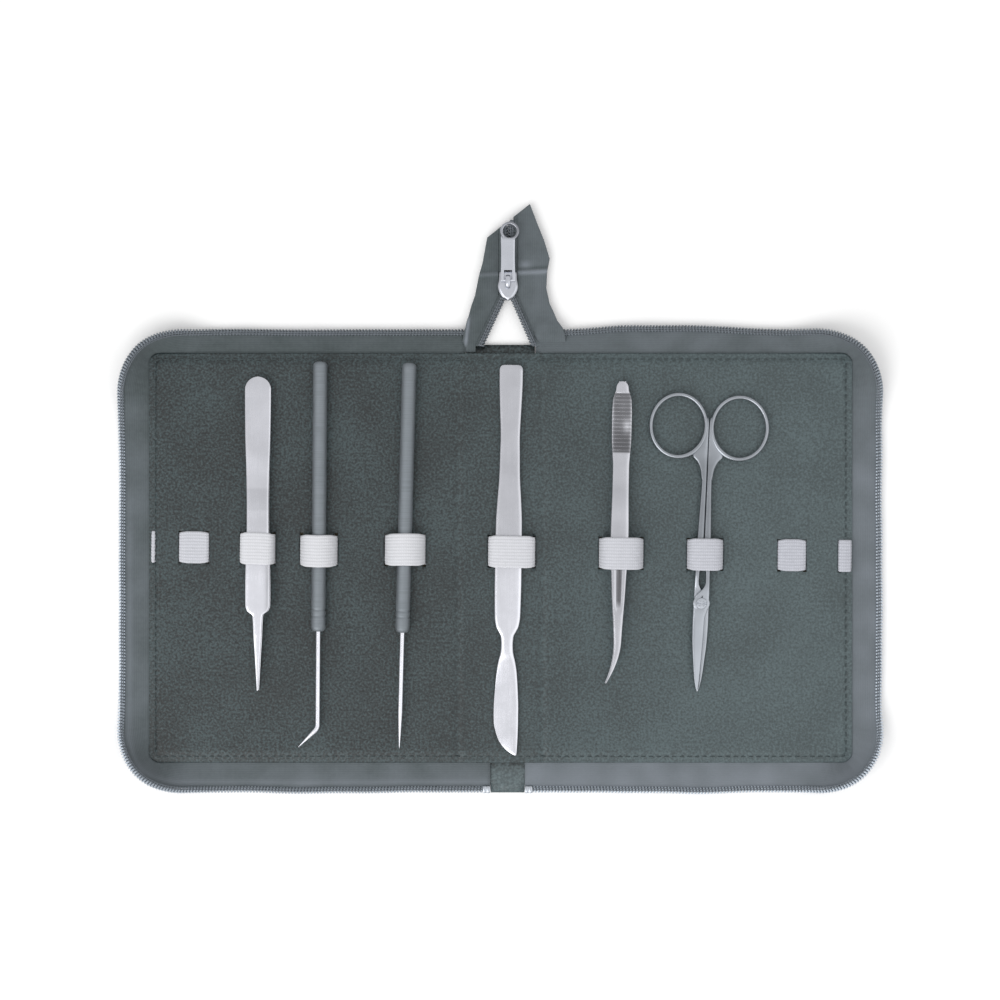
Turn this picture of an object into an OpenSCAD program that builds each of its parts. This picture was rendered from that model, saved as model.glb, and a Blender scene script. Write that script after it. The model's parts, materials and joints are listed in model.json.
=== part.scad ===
// Book-fold, zip-round case of dissecting instruments, lying open and flat.
// Origin: middle of the spine's underside. +X points to the right cover, +Y to the loose
// tail of the zip, +Z up out of the lining. Sizes are in millimetres.

/* [Case] */
// Width of the open case, over both rows of zip teeth
case_w = 298.4; // [250:0.2:360]
// Height of the case along its spine, over both rows of zip teeth
case_h = 181; // [150:0.5:220]
// Distance between the two hinge creases, near the closed case's thickness
spine_w = 33; // [32:0.5:42]
// Zip tape and teeth that show beyond the cover at its fore edge
rim_side = 12; // [10:0.5:14]
// Zip tape and teeth that show above the cover
rim_top = 9.4; // [8:0.2:12]
// Zip tape and teeth that show below the cover
rim_bottom = 11.8; // [8:0.2:12]
// Radius of the line of teeth round each outer corner
corner_r = 26.5; // [22:0.5:32]
// Radius of the cover's own corners
cover_r = 4; // [3:0.5:6]

/* [Cover layers] */
// Thickness of the outer leatherette
skin_t = 0.9; // [0.7:0.1:1.2]
// Thickness of the stiffening board
board_t = 1.8; // [1.6:0.1:2.4]
// Thickness of the lining
lining_t = 0.8; // [0.6:0.1:1]
// Depth of the sewn seam round each cover
seam_w = 4.5; // [3.5:0.5:6]

/* [Zip] */
// Thickness of the woven tape
tape_t = 0.8; // [0.6:0.1:1]
// Width of one row of teeth
chain_w = 2.9; // [2.4:0.1:3.4]
// Thickness of the teeth
chain_t = 2.6; // [2.2:0.1:3]
// Height that the tape stands up at the rounded corners
corner_rise = 9.5; // [6:0.5:11]
// Length of straight edge over which the tape comes down from a corner
rise_run = 14; // [8:1:20]

/* [Zip tail] */
// Distance that the tail leans to the right of the spine's middle
tail_lean = 2.9; // [0:0.1:4]
// Length of the tail from the case's top edge to its pointed end
tail_l = 49; // [40:1:60]
// Width of the left tape in the tail
tail_left_w = 10.9; // [9:0.1:16]
// Width of the right tape in the tail
tail_right_w = 15.5; // [12:0.1:18]
// Place of the left tape's free end, from the spine's middle
zip_end_left = -4; // [-10:0.1:-2]
// Place of the right tape's free end, from the spine's middle
zip_end_right = 9.5; // [2:0.1:12]
// Distance from the case's top edge to the slider's nose
slider_park = 10.4; // [8:0.2:20]
// Length of the slider
slider_l = 11.8; // [10:0.2:14]
// Width of the slider
slider_w = 8; // [7.5:0.1:10]
// Length of the puller's flat bar
puller_l = 17; // [12:0.5:22]
// Width of the puller's flat bar
puller_w = 5.6; // [5:0.1:7]
// Radius of the hole in the puller's eyelet
eyelet_r = 2.5; // [1.5:0.1:3]

/* [Elastic band] */
// Width of the woven elastic
band_w = 12.5; // [8:0.5:16]
// Thickness of the woven elastic
band_t = 1.1; // [0.8:0.1:1.4]
// Height of the band above the case's middle, at the spine
band_y = 3.7; // [-10:0.1:10]
// Angle by which the band falls towards the right
band_tilt = 0.8; // [0:0.1:2]

/* [Fine forceps] */
// Length of the straight fine-pointed forceps
forceps_l = 122; // [100:1:135]
// Width of their arms at the round end
forceps_w = 10.4; // [8:0.1:10.6]
// Thickness of one arm
forceps_t = 1.3; // [1:0.1:1.6]

/* [Curved forceps] */
// Length of the curved forceps
curved_l = 120; // [100:1:130]
// Width of their arms at the grip
curved_w = 8.2; // [7:0.1:9.4]
// Thickness of one arm
curved_t = 1.2; // [1:0.1:1.6]

/* [Dissecting needles] */
// Length of a needle's handle
handle_l = 105; // [80:1:110]
// Diameter of a needle's handle
handle_d = 5.4; // [4.5:0.1:5.8]
// Length of steel that shows beyond the handle
needle_l = 45; // [30:1:50]
// Diameter of the steel
needle_d = 1.9; // [1.2:0.1:2.4]

/* [Scalpel] */
// Length of the one-piece scalpel
scalpel_l = 152; // [130:1:155]
// Greatest width of its handle
scalpel_w = 10.6; // [9:0.1:11]
// Thickness of its handle
scalpel_t = 2.4; // [2:0.1:2.8]

/* [Scissors] */
// Distance from the pivot screw to the middle of the finger rings
shank_l = 68.7; // [58:0.5:72]
// Distance from the pivot screw to the points
blade_l = 34.3; // [28:0.5:38]
// Half-width of a finger ring, to the middle of its wire
ring_x = 10.75; // [9.5:0.05:12]
// Half-height of a finger ring, to the middle of its wire
ring_y = 12.1; // [10:0.1:14]
// Thickness of the wire of the rings
ring_wire = 2; // [1.6:0.1:2.2]
// Thickness of each blade
blade_t = 1.6; // [1.2:0.1:1.8]
// Radius of the pivot screw
screw_r = 1.2; // [1:0.05:1.4]

/* [Hidden] */

$fn = 48;
touch = 0.05;                    // gap between pieces that lie against each other
lift = 0.3;                      // gap under an instrument that lies on the lining
lining_z = skin_t + board_t + lining_t;
board_top = skin_t + board_t;
hinge_x = spine_w / 2;
hinge_z = skin_t / 2;
crease = lining_z - hinge_z + 2 * touch;   // plates stop this far from the hinge line
spine_edge = hinge_x - crease;
cover_edge = hinge_x + crease;
half_w = case_w / 2;
half_h = case_h / 2;
fore_edge = half_w - rim_side;
panel_top = half_h - rim_top;
panel_bottom = -half_h + rim_bottom;
seam_z = skin_t + board_t / 2;
channel_t = band_t + 2 * touch;  // depth of the groove in the boards for the band
slit_w = band_t + 6 * touch;

// Places of the loops, as shares of the way from the hinge crease to the fore edge
fine_forceps_x = -station(0.644);
bent_needle_x = -station(0.438);
straight_needle_x = -station(0.153);
left_spare_x = -station(0.854);
curved_forceps_x = station(0.233);
scissors_x = station(0.509);
right_spare_x = station(0.797);
scalpel_x = 3.1;

// Half-widths of the loops, and how far each loop sits beside its instrument
fine_loop = 7.05;
bent_loop = 7.5;
straight_loop = 8.4;
curved_loop = 8.7;
scissors_loop_half = 7.3;
spare_loop = 5.9;
scalpel_loop_from = -5.2;
scalpel_loop_to = spine_edge - 3 * touch;
scalpel_loop_x = (scalpel_loop_from + scalpel_loop_to) / 2;
scalpel_loop_half = (scalpel_loop_to - scalpel_loop_from) / 2;

// Heights inside the loops; the forceps' bowed arms pass under theirs
needle_loop_h = handle_d + 0.7;
fine_loop_h = 2 * forceps_t + 4.4;
curved_loop_h = 2 * curved_t + 4.4;
scalpel_loop_h = scalpel_t + 1.2;
scissors_loop_h = 2 * blade_t + 1.2;

// Angles by which instruments lean to the right at their top
straight_lean = 1.2;
scalpel_lean = 0.9;
scissors_lean = 2.6;

// Distance from the loop's middle to each instrument's top end
fine_head = 66.8;
curved_head = 69.5;
needle_head = 73;
scalpel_head = 72.8;
pivot_drop = 19;                 // the scissors' screw lies this far below their loop

function station(share) = cover_edge + share * (fore_edge - cover_edge);
function flat(lists) = [for (l = lists) each l];
function unit(v) = v / norm(v);
function mix(a, b, t) = a + (b - a) * t;

// ---------- shapes shared by several pieces ----------

// A solid through a row of closed rings that have the same number of points; with
// endless, the last ring joins the first one
module loft(rings, endless = false) {
    n = len(rings[0]);
    m = len(rings);
    caps = endless ? [] : [
        [for (k = [n - 1:-1:0]) k],
        [for (k = [0:n - 1]) (m - 1) * n + k]];
    sides = [for (i = [0:m - (endless ? 1 : 2)], k = [0:n - 1])
        let (a = i * n + k, b = i * n + (k + 1) % n,
             c = (i + 1) % m * n + k, d = (i + 1) % m * n + (k + 1) % n)
        [[a, b, c], [b, d, c]]];
    polyhedron(points = flat(rings), faces = concat(caps, flat(sides)));
}

// Lays children on the lining at x, with y = 0 on the elastic band's middle line
module on_band(x, lean = 0) {
    translate([x, band_y - x * tan(band_tilt), lining_z])
        rotate([0, 0, -lean])
            children();
}

// Puts children in the elastic band's own straight line
module along_band() {
    translate([0, band_y, 0])
        rotate([0, 0, -band_tilt])
            children();
}

// Symmetric outline from [y, half-width] pairs, listed from the top end down
function both_sides(pairs) = concat(
    [for (p = pairs) [p[1], p[0]]],
    [for (k = [len(pairs) - 1:-1:0]) [-pairs[k][1], pairs[k][0]]]);

// Points of a round end of radius r, centred on y, as [y, half-width] pairs
function round_end(y, r) = [for (a = [80:-20:0]) [y + r * sin(a), r * cos(a)]];

// ---------- covers and spine ----------

// Outline of a cover, from the hinge crease to the fore edge, on the right
module cover_outline(inset = 0) {
    r = max(cover_r - inset, 0.5);
    low = panel_bottom + inset;
    high = panel_top - inset;
    far = fore_edge - inset;
    polygon(concat(
        [[cover_edge, high], [cover_edge, low]],
        [for (a = [-90:15:0]) [far - r + r * cos(a), low + r + r * sin(a)]],
        [for (a = [0:15:90]) [far - r + r * cos(a), high - r + r * sin(a)]]));
}

module cover_skin() {
    color("#3f4a4c")
        linear_extrude(skin_t)
            cover_outline();
}

module cover_board(side) {
    color("#8a7f6a")
        difference() {
            translate([0, 0, skin_t])
                mirror([side < 0 ? 1 : 0, 0, 0])
                    linear_extrude(board_t)
                        cover_outline(seam_w + touch);
            band_channel();
        }
}

module cover_lining(side) {
    spots = side < 0 ? left_slits() : right_slits();
    color("#4a5558")
        difference() {
            translate([0, 0, board_top])
                mirror([side < 0 ? 1 : 0, 0, 0])
                    linear_extrude(lining_t)
                        cover_outline();
            band_slits(spots);
        }
}

// Groove in the boards that the hidden runs of elastic lie in
module band_channel() {
    along_band()
        translate([-half_w, -band_w / 2 - 2 * touch, board_top - channel_t])
            cube([case_w, band_w + 4 * touch, channel_t + 1]);
}

// Slits that the elastic comes up through
module band_slits(spots) {
    along_band()
        for (x = spots)
            translate([x - slit_w / 2, -band_w / 2 - 2 * touch, board_top - 1])
                cube([slit_w, band_w + 4 * touch, lining_t + 2]);
}

// Middles of the two legs of a loop whose outer edges are at x - half and x + half
function legs(x, half) = [x - half + band_t / 2, x + half - band_t / 2];
function left_slits() = flat([
    legs(left_spare_x, spare_loop), legs(fine_forceps_x, fine_loop),
    legs(bent_needle_x, bent_loop), legs(straight_needle_x, straight_loop)]);
function right_slits() = flat([
    legs(curved_forceps_x, curved_loop), legs(scissors_x, scissors_loop_half),
    legs(right_spare_x, spare_loop)]);

module spine_plate(z, t) {
    translate([-spine_edge, panel_bottom, z])
        cube([2 * spine_edge, panel_top - panel_bottom, t]);
}

// The spine's leatherette runs on past the covers as a tab at each end
module spine_skin() {
    tab_top = vee_y - touch;
    tab_bottom = -half_h + chain_w + touch;
    color("#3f4a4c") {
        spine_plate(0, skin_t);
        translate([-spine_edge, panel_top - touch, 0])
            cube([2 * spine_edge, tab_top - panel_top + touch, skin_t]);
        translate([-spine_edge, tab_bottom, 0])
            cube([2 * spine_edge, panel_bottom - tab_bottom + touch, skin_t]);
    }
}

module spine_board() {
    color("#8a7f6a")
        difference() {
            spine_plate(skin_t, board_t);
            band_channel();
        }
}

module spine_lining() {
    color("#4a5558")
        difference() {
            spine_plate(board_top, lining_t);
            band_slits(legs(scalpel_loop_x, scalpel_loop_half));
        }
}

// Soft strip that joins a cover to the spine: leatherette below, lining above, with the
// crease pressed into both
module hinge_fold() {
    near = spine_edge + touch;
    far = cover_edge - touch;
    dip = 0.35;
    color("#3a4446")
        translate([0, panel_top, 0])
            rotate([90, 0, 0])
                linear_extrude(panel_top - panel_bottom) {
                    polygon([[near, 0], [far, 0], [far, skin_t],
                             [hinge_x, skin_t - dip], [near, skin_t]]);
                    polygon([[near, board_top], [hinge_x, board_top - dip], [far, board_top],
                             [far, lining_z], [hinge_x, lining_z - dip], [near, lining_z]]);
                }
}

// ---------- elastic band ----------

// Half of an arch over an instrument: half-width a, height h, squareness n
function arch(a, h, n) = [for (t = [0:7.5:180])
    [a * sign(cos(t)) * pow(abs(cos(t)), 2 / n), h * pow(sin(t), 2 / n)]];

// A loop of elastic that stands out of its slits: half-width, inner height, squareness
module elastic_loop(half, inner_h, n) {
    foot = board_top - channel_t + touch - lining_z;
    outer = arch(half, inner_h + band_t, n);
    inner = arch(half - band_t, inner_h, n);
    color("#dcdce2")
        translate([0, band_w / 2, lining_z])
            rotate([90, 0, 0])
                linear_extrude(band_w)
                    polygon(concat(
                        [[half, foot]], outer, [[-half, foot], [-half + band_t, foot]],
                        [for (k = [len(inner) - 1:-1:0]) inner[k]],
                        [[half - band_t, foot]]));
}

// A loop with no instrument in it lies flat on the lining
module spare_loop_at(x) {
    color("#dcdce2")
        along_band()
            translate([x, 0, 0]) {
                translate([-spare_loop, -band_w / 2, lining_z + touch])
                    cube([2 * spare_loop, band_w, band_t]);
                for (leg = [-spare_loop, spare_loop - band_t])
                    translate([leg, -band_w / 2, board_top - channel_t + touch])
                        cube([band_t, band_w, channel_t + lining_t + band_t]);
            }
}

// Hidden runs of the band, between one loop's outer edge and the next one's
module hidden_runs(spans) {
    color("#c4c4cc")
        along_band()
            for (s = spans)
                translate([s[0] + touch, -band_w / 2, board_top - channel_t + touch])
                    cube([s[1] - s[0] - 2 * touch, band_w, band_t]);
}

module left_elastic() {
    hidden_runs([
        [-fore_edge + seam_w + 1, left_spare_x - spare_loop],
        [left_spare_x + spare_loop, fine_forceps_x - fine_loop],
        [fine_forceps_x + fine_loop, bent_needle_x - bent_loop],
        [bent_needle_x + bent_loop, straight_needle_x - straight_loop],
        [straight_needle_x + straight_loop, -cover_edge - 0.5]]);
}

module spine_elastic() {
    hidden_runs([
        [-spine_edge + 0.5, scalpel_loop_from],
        [scalpel_loop_to, spine_edge]]);
}

module right_elastic() {
    hidden_runs([
        [cover_edge + 0.5, curved_forceps_x - curved_loop],
        [curved_forceps_x + curved_loop, scissors_x - scissors_loop_half],
        [scissors_x + scissors_loop_half, right_spare_x - spare_loop],
        [right_spare_x + spare_loop, fore_edge - seam_w - 1]]);
}

module loop_at(x, half, inner_h, n) {
    along_band()
        translate([x, 0, 0])
            elastic_loop(half, inner_h, n);
}

// ---------- zip ----------

// The right cover's zip runs from the top of the hinge crease, round the fore edge, to
// the bottom of the crease. A stop on the way is [outer point, cover's edge, rise].
corner_x = half_w - corner_r;
corner_y = half_h - corner_r;
corner_reach = corner_r * PI / 4 + rise_run;
function eased(from_corner) =
    from_corner < corner_reach ? corner_rise * pow(cos(90 * from_corner / corner_reach), 2) : 0;

// Point of the cover's edge a share f of the way round its corner, for the side whose
// cover ends at height edge_y
function edge_corner(f, edge_y) =
    let (run_x = fore_edge - cover_r - corner_x,
         bend = cover_r * PI / 2,
         run_y = edge_y - cover_r - corner_y,
         s = f * (run_x + bend + run_y),
         a = 90 - 90 * (s - run_x) / bend)
    s < run_x ? [corner_x + s, edge_y]
    : s < run_x + bend ? [fore_edge - cover_r + cover_r * cos(a), edge_y - cover_r + cover_r * sin(a)]
    : [fore_edge, edge_y - cover_r - (s - run_x - bend)];

// Stops along the top or bottom edge, out to the corner and half of the fore edge
function half_round(edge_y) = concat(
    [for (t = [0, 0.35, 0.7]) let (x = mix(cover_edge + touch, corner_x - rise_run, t))
        [[x, half_h], [x, edge_y], 0]],
    [for (t = [0:0.25:0.75]) let (x = corner_x - rise_run * (1 - t))
        [[x, half_h], [x, edge_y], eased(corner_reach - rise_run * t)]],
    [for (a = [0:10:90])
        [[corner_x + corner_r * sin(a), corner_y + corner_r * cos(a)],
         edge_corner(a / 90, edge_y),
         eased(corner_r * PI / 4 * abs(a - 45) / 45)]],
    [for (t = [0.25:0.25:1]) let (y = corner_y - rise_run * t)
        [[half_w, y], [fore_edge, y], eased(corner_r * PI / 4 + rise_run * t)]]);

function upside_down(stops) = [for (k = [len(stops) - 1:-1:0])
    [[stops[k][0][0], -stops[k][0][1]], [stops[k][1][0], -stops[k][1][1]], stops[k][2]]];
zip_stops = concat(half_round(panel_top), upside_down(half_round(-panel_bottom)));

// At a stop: the outer end of the teeth, and the sewn edge of the tape, in space
function teeth_point(s) = [s[0][0], s[0][1], chain_t / 2 + touch + s[2]];
function edge_point(s) = [s[1][0], s[1][1], seam_z];
function inward(s) = unit(edge_point(s) - teeth_point(s));
function along(k) =
    unit(teeth_point(zip_stops[min(k + 1, len(zip_stops) - 1)])
         - teeth_point(zip_stops[max(k - 1, 0)]));

// Run of the tape inside the seam, which stays short of the corners' own middle
tape_depth = min(seam_w, cover_r) - 0.5;

// Ring of the tape's section: from the teeth to the cover's edge and on into the seam
function tape_ring(k) =
    let (s = zip_stops[k],
         up = unit(cross(inward(s), along(k))) * tape_t / 2,
         lift_z = [0, 0, tape_t / 2],
         start = teeth_point(s) + inward(s) * (chain_w + touch),
         edge = edge_point(s),
         flat_in = unit([inward(s)[0], inward(s)[1], 0]),
         deep = edge + flat_in * tape_depth)
    [start + up, edge + lift_z, deep + lift_z, deep - lift_z, edge - lift_z, start - up];

// Ring of the teeth's section, a bar with eased edges
function chain_ring(k) =
    let (s = zip_stops[k],
         up = unit(cross(inward(s), along(k))) * chain_t / 2,
         p = teeth_point(s),
         d = inward(s))
    [p + d * chain_w * 0.15 - up, p + d * chain_w * 0.8 - up, p + d * chain_w - up * 0.5,
     p + d * chain_w + up * 0.5, p + d * chain_w * 0.8 + up, p + d * chain_w * 0.15 + up,
     p + up * 0.5, p - up * 0.5];

module zip_tape() {
    color("#5c6a6d")
        loft([for (k = [0:len(zip_stops) - 1]) tape_ring(k)]);
}

module zip_teeth() {
    color("#8b9197")
        loft([for (k = [0:len(zip_stops) - 1]) chain_ring(k)]);
}

// Each free end of the zip crosses its crease and is sewn down on the spine's bottom tab,
// where the last teeth carry a crimped stop. Drawn for the right side, up to free_x.
stop_l = 3;
stop_h = chain_t + 0.3;
function zip_end_x(side) = side < 0 ? -zip_end_left : zip_end_right;

module zip_end_tape(free_x) {
    color("#5c6a6d")
        translate([free_x, -half_h + chain_w + touch, skin_t + touch])
            cube([cover_edge - touch - free_x, rim_bottom - chain_w - 2 * touch, tape_t]);
}

module zip_end_teeth(free_x) {
    color("#8b9197")
        translate([free_x + stop_l, -half_h, touch])
            cube([cover_edge - touch - free_x - stop_l, chain_w, chain_t]);
}

module zip_end_stops() {
    color("#b9bcc4")
        for (side = [-1, 1])
            flip(side)
                translate([zip_end_x(side), -half_h, touch])
                    cube([stop_l - touch, chain_w, stop_h]);
}

// ---------- zip tail ----------
slot = touch;                              // play of the slider on tape and teeth
plate_t = 0.75;                            // thickness of the slider's plates
tail_z = 0.05 + plate_t + 3 * slot + chain_t / 2;
nose_y = half_h + slider_park;
meet_y = nose_y + 3;                       // the two rows of teeth meet here
tail_end = half_h + tail_l;
vee_y = half_h - 6;                        // foot of the opening between the tapes
vee_left = tail_lean - 9;
vee_right = tail_lean + 8.6;
left_row_end = tail_end - 9.4;             // upper ends of the two rows of teeth
right_row_end = tail_end - 5;

// The tape bends over from the cover's edge and runs up into the tail
module left_tail_tape() {
    out = tail_lean - tail_left_w;
    row = tail_lean - slot - chain_w;
    foot = vee_left - chain_w;
    color("#55625f")
        translate([0, 0, tail_z - tape_t / 2])
            linear_extrude(tape_t)
                polygon([
                    [-cover_edge + touch, panel_top + touch], [-spine_edge, panel_top + touch],
                    [foot - 1, vee_y], [row - touch, meet_y],
                    [row - touch, left_row_end], [out + 2.7, left_row_end - 3.8],
                    [out + 0.8, nose_y + 12], [out - 1, nose_y + 5],
                    [out - 3, nose_y - 2.5], [out - 5.4, half_h + 0.4],
                    [-cover_edge + touch, half_h - chain_w]]);
}

module right_tail_tape() {
    out = tail_lean + tail_right_w;
    row = tail_lean + slot + chain_w;
    foot = vee_right + chain_w;
    color("#55625f")
        translate([0, 0, tail_z - tape_t / 2])
            linear_extrude(tape_t)
                polygon([
                    [cover_edge - touch, panel_top + touch], [spine_edge, panel_top + touch],
                    [foot + 1, vee_y], [row + touch, meet_y],
                    [row + touch, tail_end - 2.6], [tail_lean + 8.6, tail_end],
                    [tail_lean + 11.7, tail_end - 8.2], [out + 0.9, tail_end - 21.3],
                    [out - 0.4, nose_y + 12], [out - 0.6, nose_y + 5],
                    [cover_edge - touch, nose_y - 1], [cover_edge - touch, half_h - chain_w]]);
}

// One row of teeth: up the side of the opening, then straight up the tail
module tail_teeth(side, vee_x, end_y) {
    inner = tail_lean + side * slot / 2;
    color("#8b9197")
        translate([0, 0, tail_z - chain_t / 2])
            linear_extrude(chain_t)
                polygon([
                    [vee_x, vee_y], [inner, meet_y], [inner, end_y],
                    [inner + side * chain_w, end_y], [inner + side * chain_w, meet_y],
                    [vee_x + side * (chain_w + 0.4), vee_y]]);
}

// ---------- slider and puller ----------
slider_top = tail_z + chain_t / 2 + 3 * slot;
hinge_y = nose_y + 8.4;                    // the puller's cross-bar
bar_r = 0.6;
bar_z = slider_top + plate_t + 3 * slot + bar_r;
bail_w = 1.8;
bail_t = 1.2;
bail_front = hinge_y - 3.2;
bail_back = hinge_y + 2.2;
slot_reach = 4.2;                          // end of the puller's slot, from its cross-bar
puller_slot = bail_w + 1.2;
eyelet_out = eyelet_r + 1.7;
eyelet_y = hinge_y + puller_l + eyelet_out - 2;
eyelet_x = tail_lean + 0.7;

module shield() {
    hull() {
        translate([0, 2.4])
            circle(r = 2.4, $fn = 32);
        translate([0, 5])
            circle(r = slider_w / 2, $fn = 32);
        translate([0, slider_l - 2])
            square([slider_w - 1.6, 4], center = true);
    }
}

module slider_body() {
    wall = slider_w / 2 - chain_w - 3 * slot;
    gap = tape_t / 2 + slot;
    color("#c9cbd2")
        translate([tail_lean, nose_y, 0]) {
            translate([0, 0, 0.05])
                linear_extrude(plate_t)
                    shield();
            translate([0, 0, slider_top])
                linear_extrude(plate_t)
                    shield();
            // wedge that parts the two rows of teeth, in the nose
            translate([0, 0, 0.05])
                linear_extrude(slider_top + plate_t - 0.05)
                    polygon([[-0.95, 0.25], [0.95, 0.25], [0.1, 1.9], [-0.1, 1.9]]);
            // side walls, with a slot for the tape
            for (side = [-1, 1], z = [[0.05, tail_z - gap], [tail_z + gap, slider_top + plate_t]])
                translate([side * (slider_w / 2 - wall / 2) - wall / 2, 5, z[0]])
                    cube([wall, slider_l - 5.8, z[1] - z[0]]);
        }
}

module slider_bail() {
    foot = slider_top + plate_t;
    head = bar_z + bar_r + 4 * slot;
    color("#c9cbd2")
        translate([tail_lean - bail_w / 2, 0, 0])
            rotate([90, 0, 90])
                linear_extrude(bail_w)
                    polygon([
                        [bail_front, foot], [bail_front, head], [bail_front + 1, head + 1],
                        [bail_back - 1, head + 1], [bail_back, head], [bail_back, foot],
                        [bail_back - bail_t, foot], [bail_back - bail_t, head],
                        [bail_front + bail_t, head], [bail_front + bail_t, foot]]);
}

module puller() {
    rail = (puller_w - puller_slot) / 2;
    color("#c3c6ce") {
        difference() {
            union() {
                translate([tail_lean - puller_w / 2, hinge_y, bar_z - bar_r])
                    cube([puller_w, puller_l, 2 * bar_r]);
                translate([eyelet_x, eyelet_y, bar_z - bar_r])
                    cylinder(r = eyelet_out, h = 2 * bar_r);
            }
            translate([tail_lean - puller_w / 2 + rail, hinge_y - 1, bar_z - 1])
                cube([puller_slot, slot_reach + 1, 2]);
            translate([eyelet_x, eyelet_y, bar_z - 1])
                cylinder(r = eyelet_r, h = 2);
        }
        translate([tail_lean - puller_w / 2, hinge_y, bar_z])
            rotate([0, 90, 0])
                cylinder(r = bar_r, h = puller_w);
    }
}

// ---------- forceps ----------

// One spring arm: its outline seen from above, and its edge seen from the side, which
// starts at height z0 at the top end and bows up by climb, so that the points meet first
module spring_arm(outline, top, length, t, z0, climb) {
    bow = [[-1, 0], [weld_l, 0], [length * 0.5, climb * 0.62], [length * 0.82, climb]];
    tip = top - length - 1;
    tip_z = z0 + climb * 0.97;
    intersection() {
        linear_extrude(20)
            polygon(outline);
        translate([-15, 0, 0])
            rotate([90, 0, 90])
                linear_extrude(30)
                    polygon(concat(
                        [for (p = bow) [top - p[0], z0 + p[1]]],
                        [[tip, tip_z], [tip, tip_z + tip_t]],
                        [for (k = [len(bow) - 1:-1:0]) [top - bow[k][0], z0 + bow[k][1] + t]]));
    }
}

forceps_gap = 3.1;               // height by which the upper arm bows up
tip_t = 0.8;                     // thickness of an arm at its point
weld_l = 8;                      // length of the joined end

function fine_outline() =
    let (h = forceps_w / 2, low = fine_head - forceps_l)
    both_sides(concat(
        round_end(fine_head - h, h),
        [[28, h * 0.92], [15, h * 0.82], [8, h * 0.83], [-8, h * 0.94], [low + 33, h * 0.96],
         [low + 31, h * 0.82], [low + 29, 1.7], [low + 20, 1.2], [low + 13, 0.8], [low, 0.35]]));

module fine_forceps_lower_arm() {
    color("#cfd2d8")
        on_band(fine_forceps_x) {
            spring_arm(fine_outline(), fine_head, forceps_l, forceps_t, lift, 0);
            weld_block(fine_head, forceps_w, forceps_t);
        }
}

module fine_forceps_upper_arm() {
    color("#dadce2")
        on_band(fine_forceps_x)
            spring_arm(fine_outline(), fine_head, forceps_l, forceps_t,
                       lift + forceps_t + lift, forceps_gap);
}

// Packing piece between the arms at their joined end
module weld_block(top, w, t) {
    sunk = 0.2;
    translate([-w / 4, top - weld_l, lift + t - sunk])
        cube([w / 2, weld_l - w / 4, lift + sunk - touch]);
}

// The curved forceps' middle line bends to the left below the joint of the grip
function bend_x(y) = y > -34 ? 0 : -4.3 * pow((-34 - y) / 16.5, 2);
function curved_pairs() =
    let (g = curved_w / 2, low = curved_head - curved_l)
    [[curved_head, 0.9], [curved_head - 1.2, 1.6], [curved_head - 4, 2.15],
     [curved_head - 7.5, g * 0.79], [curved_head - 10, g * 0.87], [36, g * 0.76],
     [24, g * 0.85], [7, g], [-3, g * 0.9], [-9, g * 0.76], [-16, g * 0.67],
     [-23, g * 0.56], [-30, g * 0.43], [-36, 1.4], [-40, 1.1], [-43, 0.85],
     [-46, 0.6], [low, 0.3]];
function curved_outline() =
    let (p = curved_pairs())
    concat([for (q = p) [q[1] + bend_x(q[0]), q[0]]],
           [for (k = [len(p) - 1:-1:0]) [-p[k][1] + bend_x(p[k][0]), p[k][0]]]);

module curved_forceps_lower_arm() {
    color("#cfd2d8")
        on_band(curved_forceps_x - 0.6) {
            spring_arm(curved_outline(), curved_head, curved_l, curved_t, lift, 0);
            weld_block(curved_head, curved_w * 0.7, curved_t);
        }
}

module curved_forceps_upper_arm() {
    color("#dadce2")
        on_band(curved_forceps_x - 0.6)
            spring_arm(curved_outline(), curved_head, curved_l, curved_t,
                       lift + curved_t + lift, forceps_gap);
}

// ---------- dissecting needles ----------
handle_z = lift + handle_d / 2;
socket_l = 14;                   // depth to which the steel is set in the handle
socket_r = needle_d / 2 + touch / 2;
point_l = 14;                    // length of the tapered point

module needle_handle() {
    color("#8f969c")
        difference() {
            translate([0, needle_head, handle_z])
                rotate([90, 0, 0])
                    union() {
                        translate([0, 0, 1])
                            cylinder(d = handle_d, h = handle_l - 2);
                        cylinder(d1 = handle_d - 1.6, d2 = handle_d, h = 1);
                        translate([0, 0, handle_l - 1])
                            cylinder(d1 = handle_d, d2 = handle_d - 1, h = 1);
                    }
            translate([0, needle_head - handle_l + socket_l, handle_z])
                rotate([90, 0, 0])
                    cylinder(r = socket_r, h = socket_l + 1);
        }
}

// Straight run of steel from inside the handle, of a given length beyond it
module needle_shaft(beyond) {
    translate([0, needle_head - handle_l + socket_l - touch, handle_z])
        rotate([90, 0, 0])
            cylinder(d = needle_d, h = socket_l + beyond);
}

module straight_needle_steel() {
    color("#c6c9d0") {
        needle_shaft(needle_l - point_l);
        translate([0, needle_head - handle_l - needle_l + point_l, handle_z])
            rotate([90, 0, 0])
                cylinder(d1 = needle_d, d2 = 0.3, h = point_l);
    }
}

// The bent needle turns to the left by 45 degrees through a short arc, where its steel is
// a hair thicker than the straight runs that end inside it
bend_r = 3.5;
bend_d = needle_d + touch;
bent_l = 9;
module bent_needle_steel() {
    straight = needle_l - bend_r * sin(45) - bent_l * cos(45);
    color("#c6c9d0") {
        needle_shaft(straight + touch);
        translate([-bend_r, needle_head - handle_l - straight, handle_z]) {
            rotate([180, 0, 0])
                rotate_extrude(angle = 45)
                    translate([bend_r, 0])
                        circle(d = bend_d);
            rotate([0, 0, -45])
                translate([bend_r, touch, 0])
                    rotate([90, 0, 0])
                        cylinder(d1 = needle_d, d2 = 0.3, h = bent_l + touch);
        }
    }
}

// ---------- scalpel ----------

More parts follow.
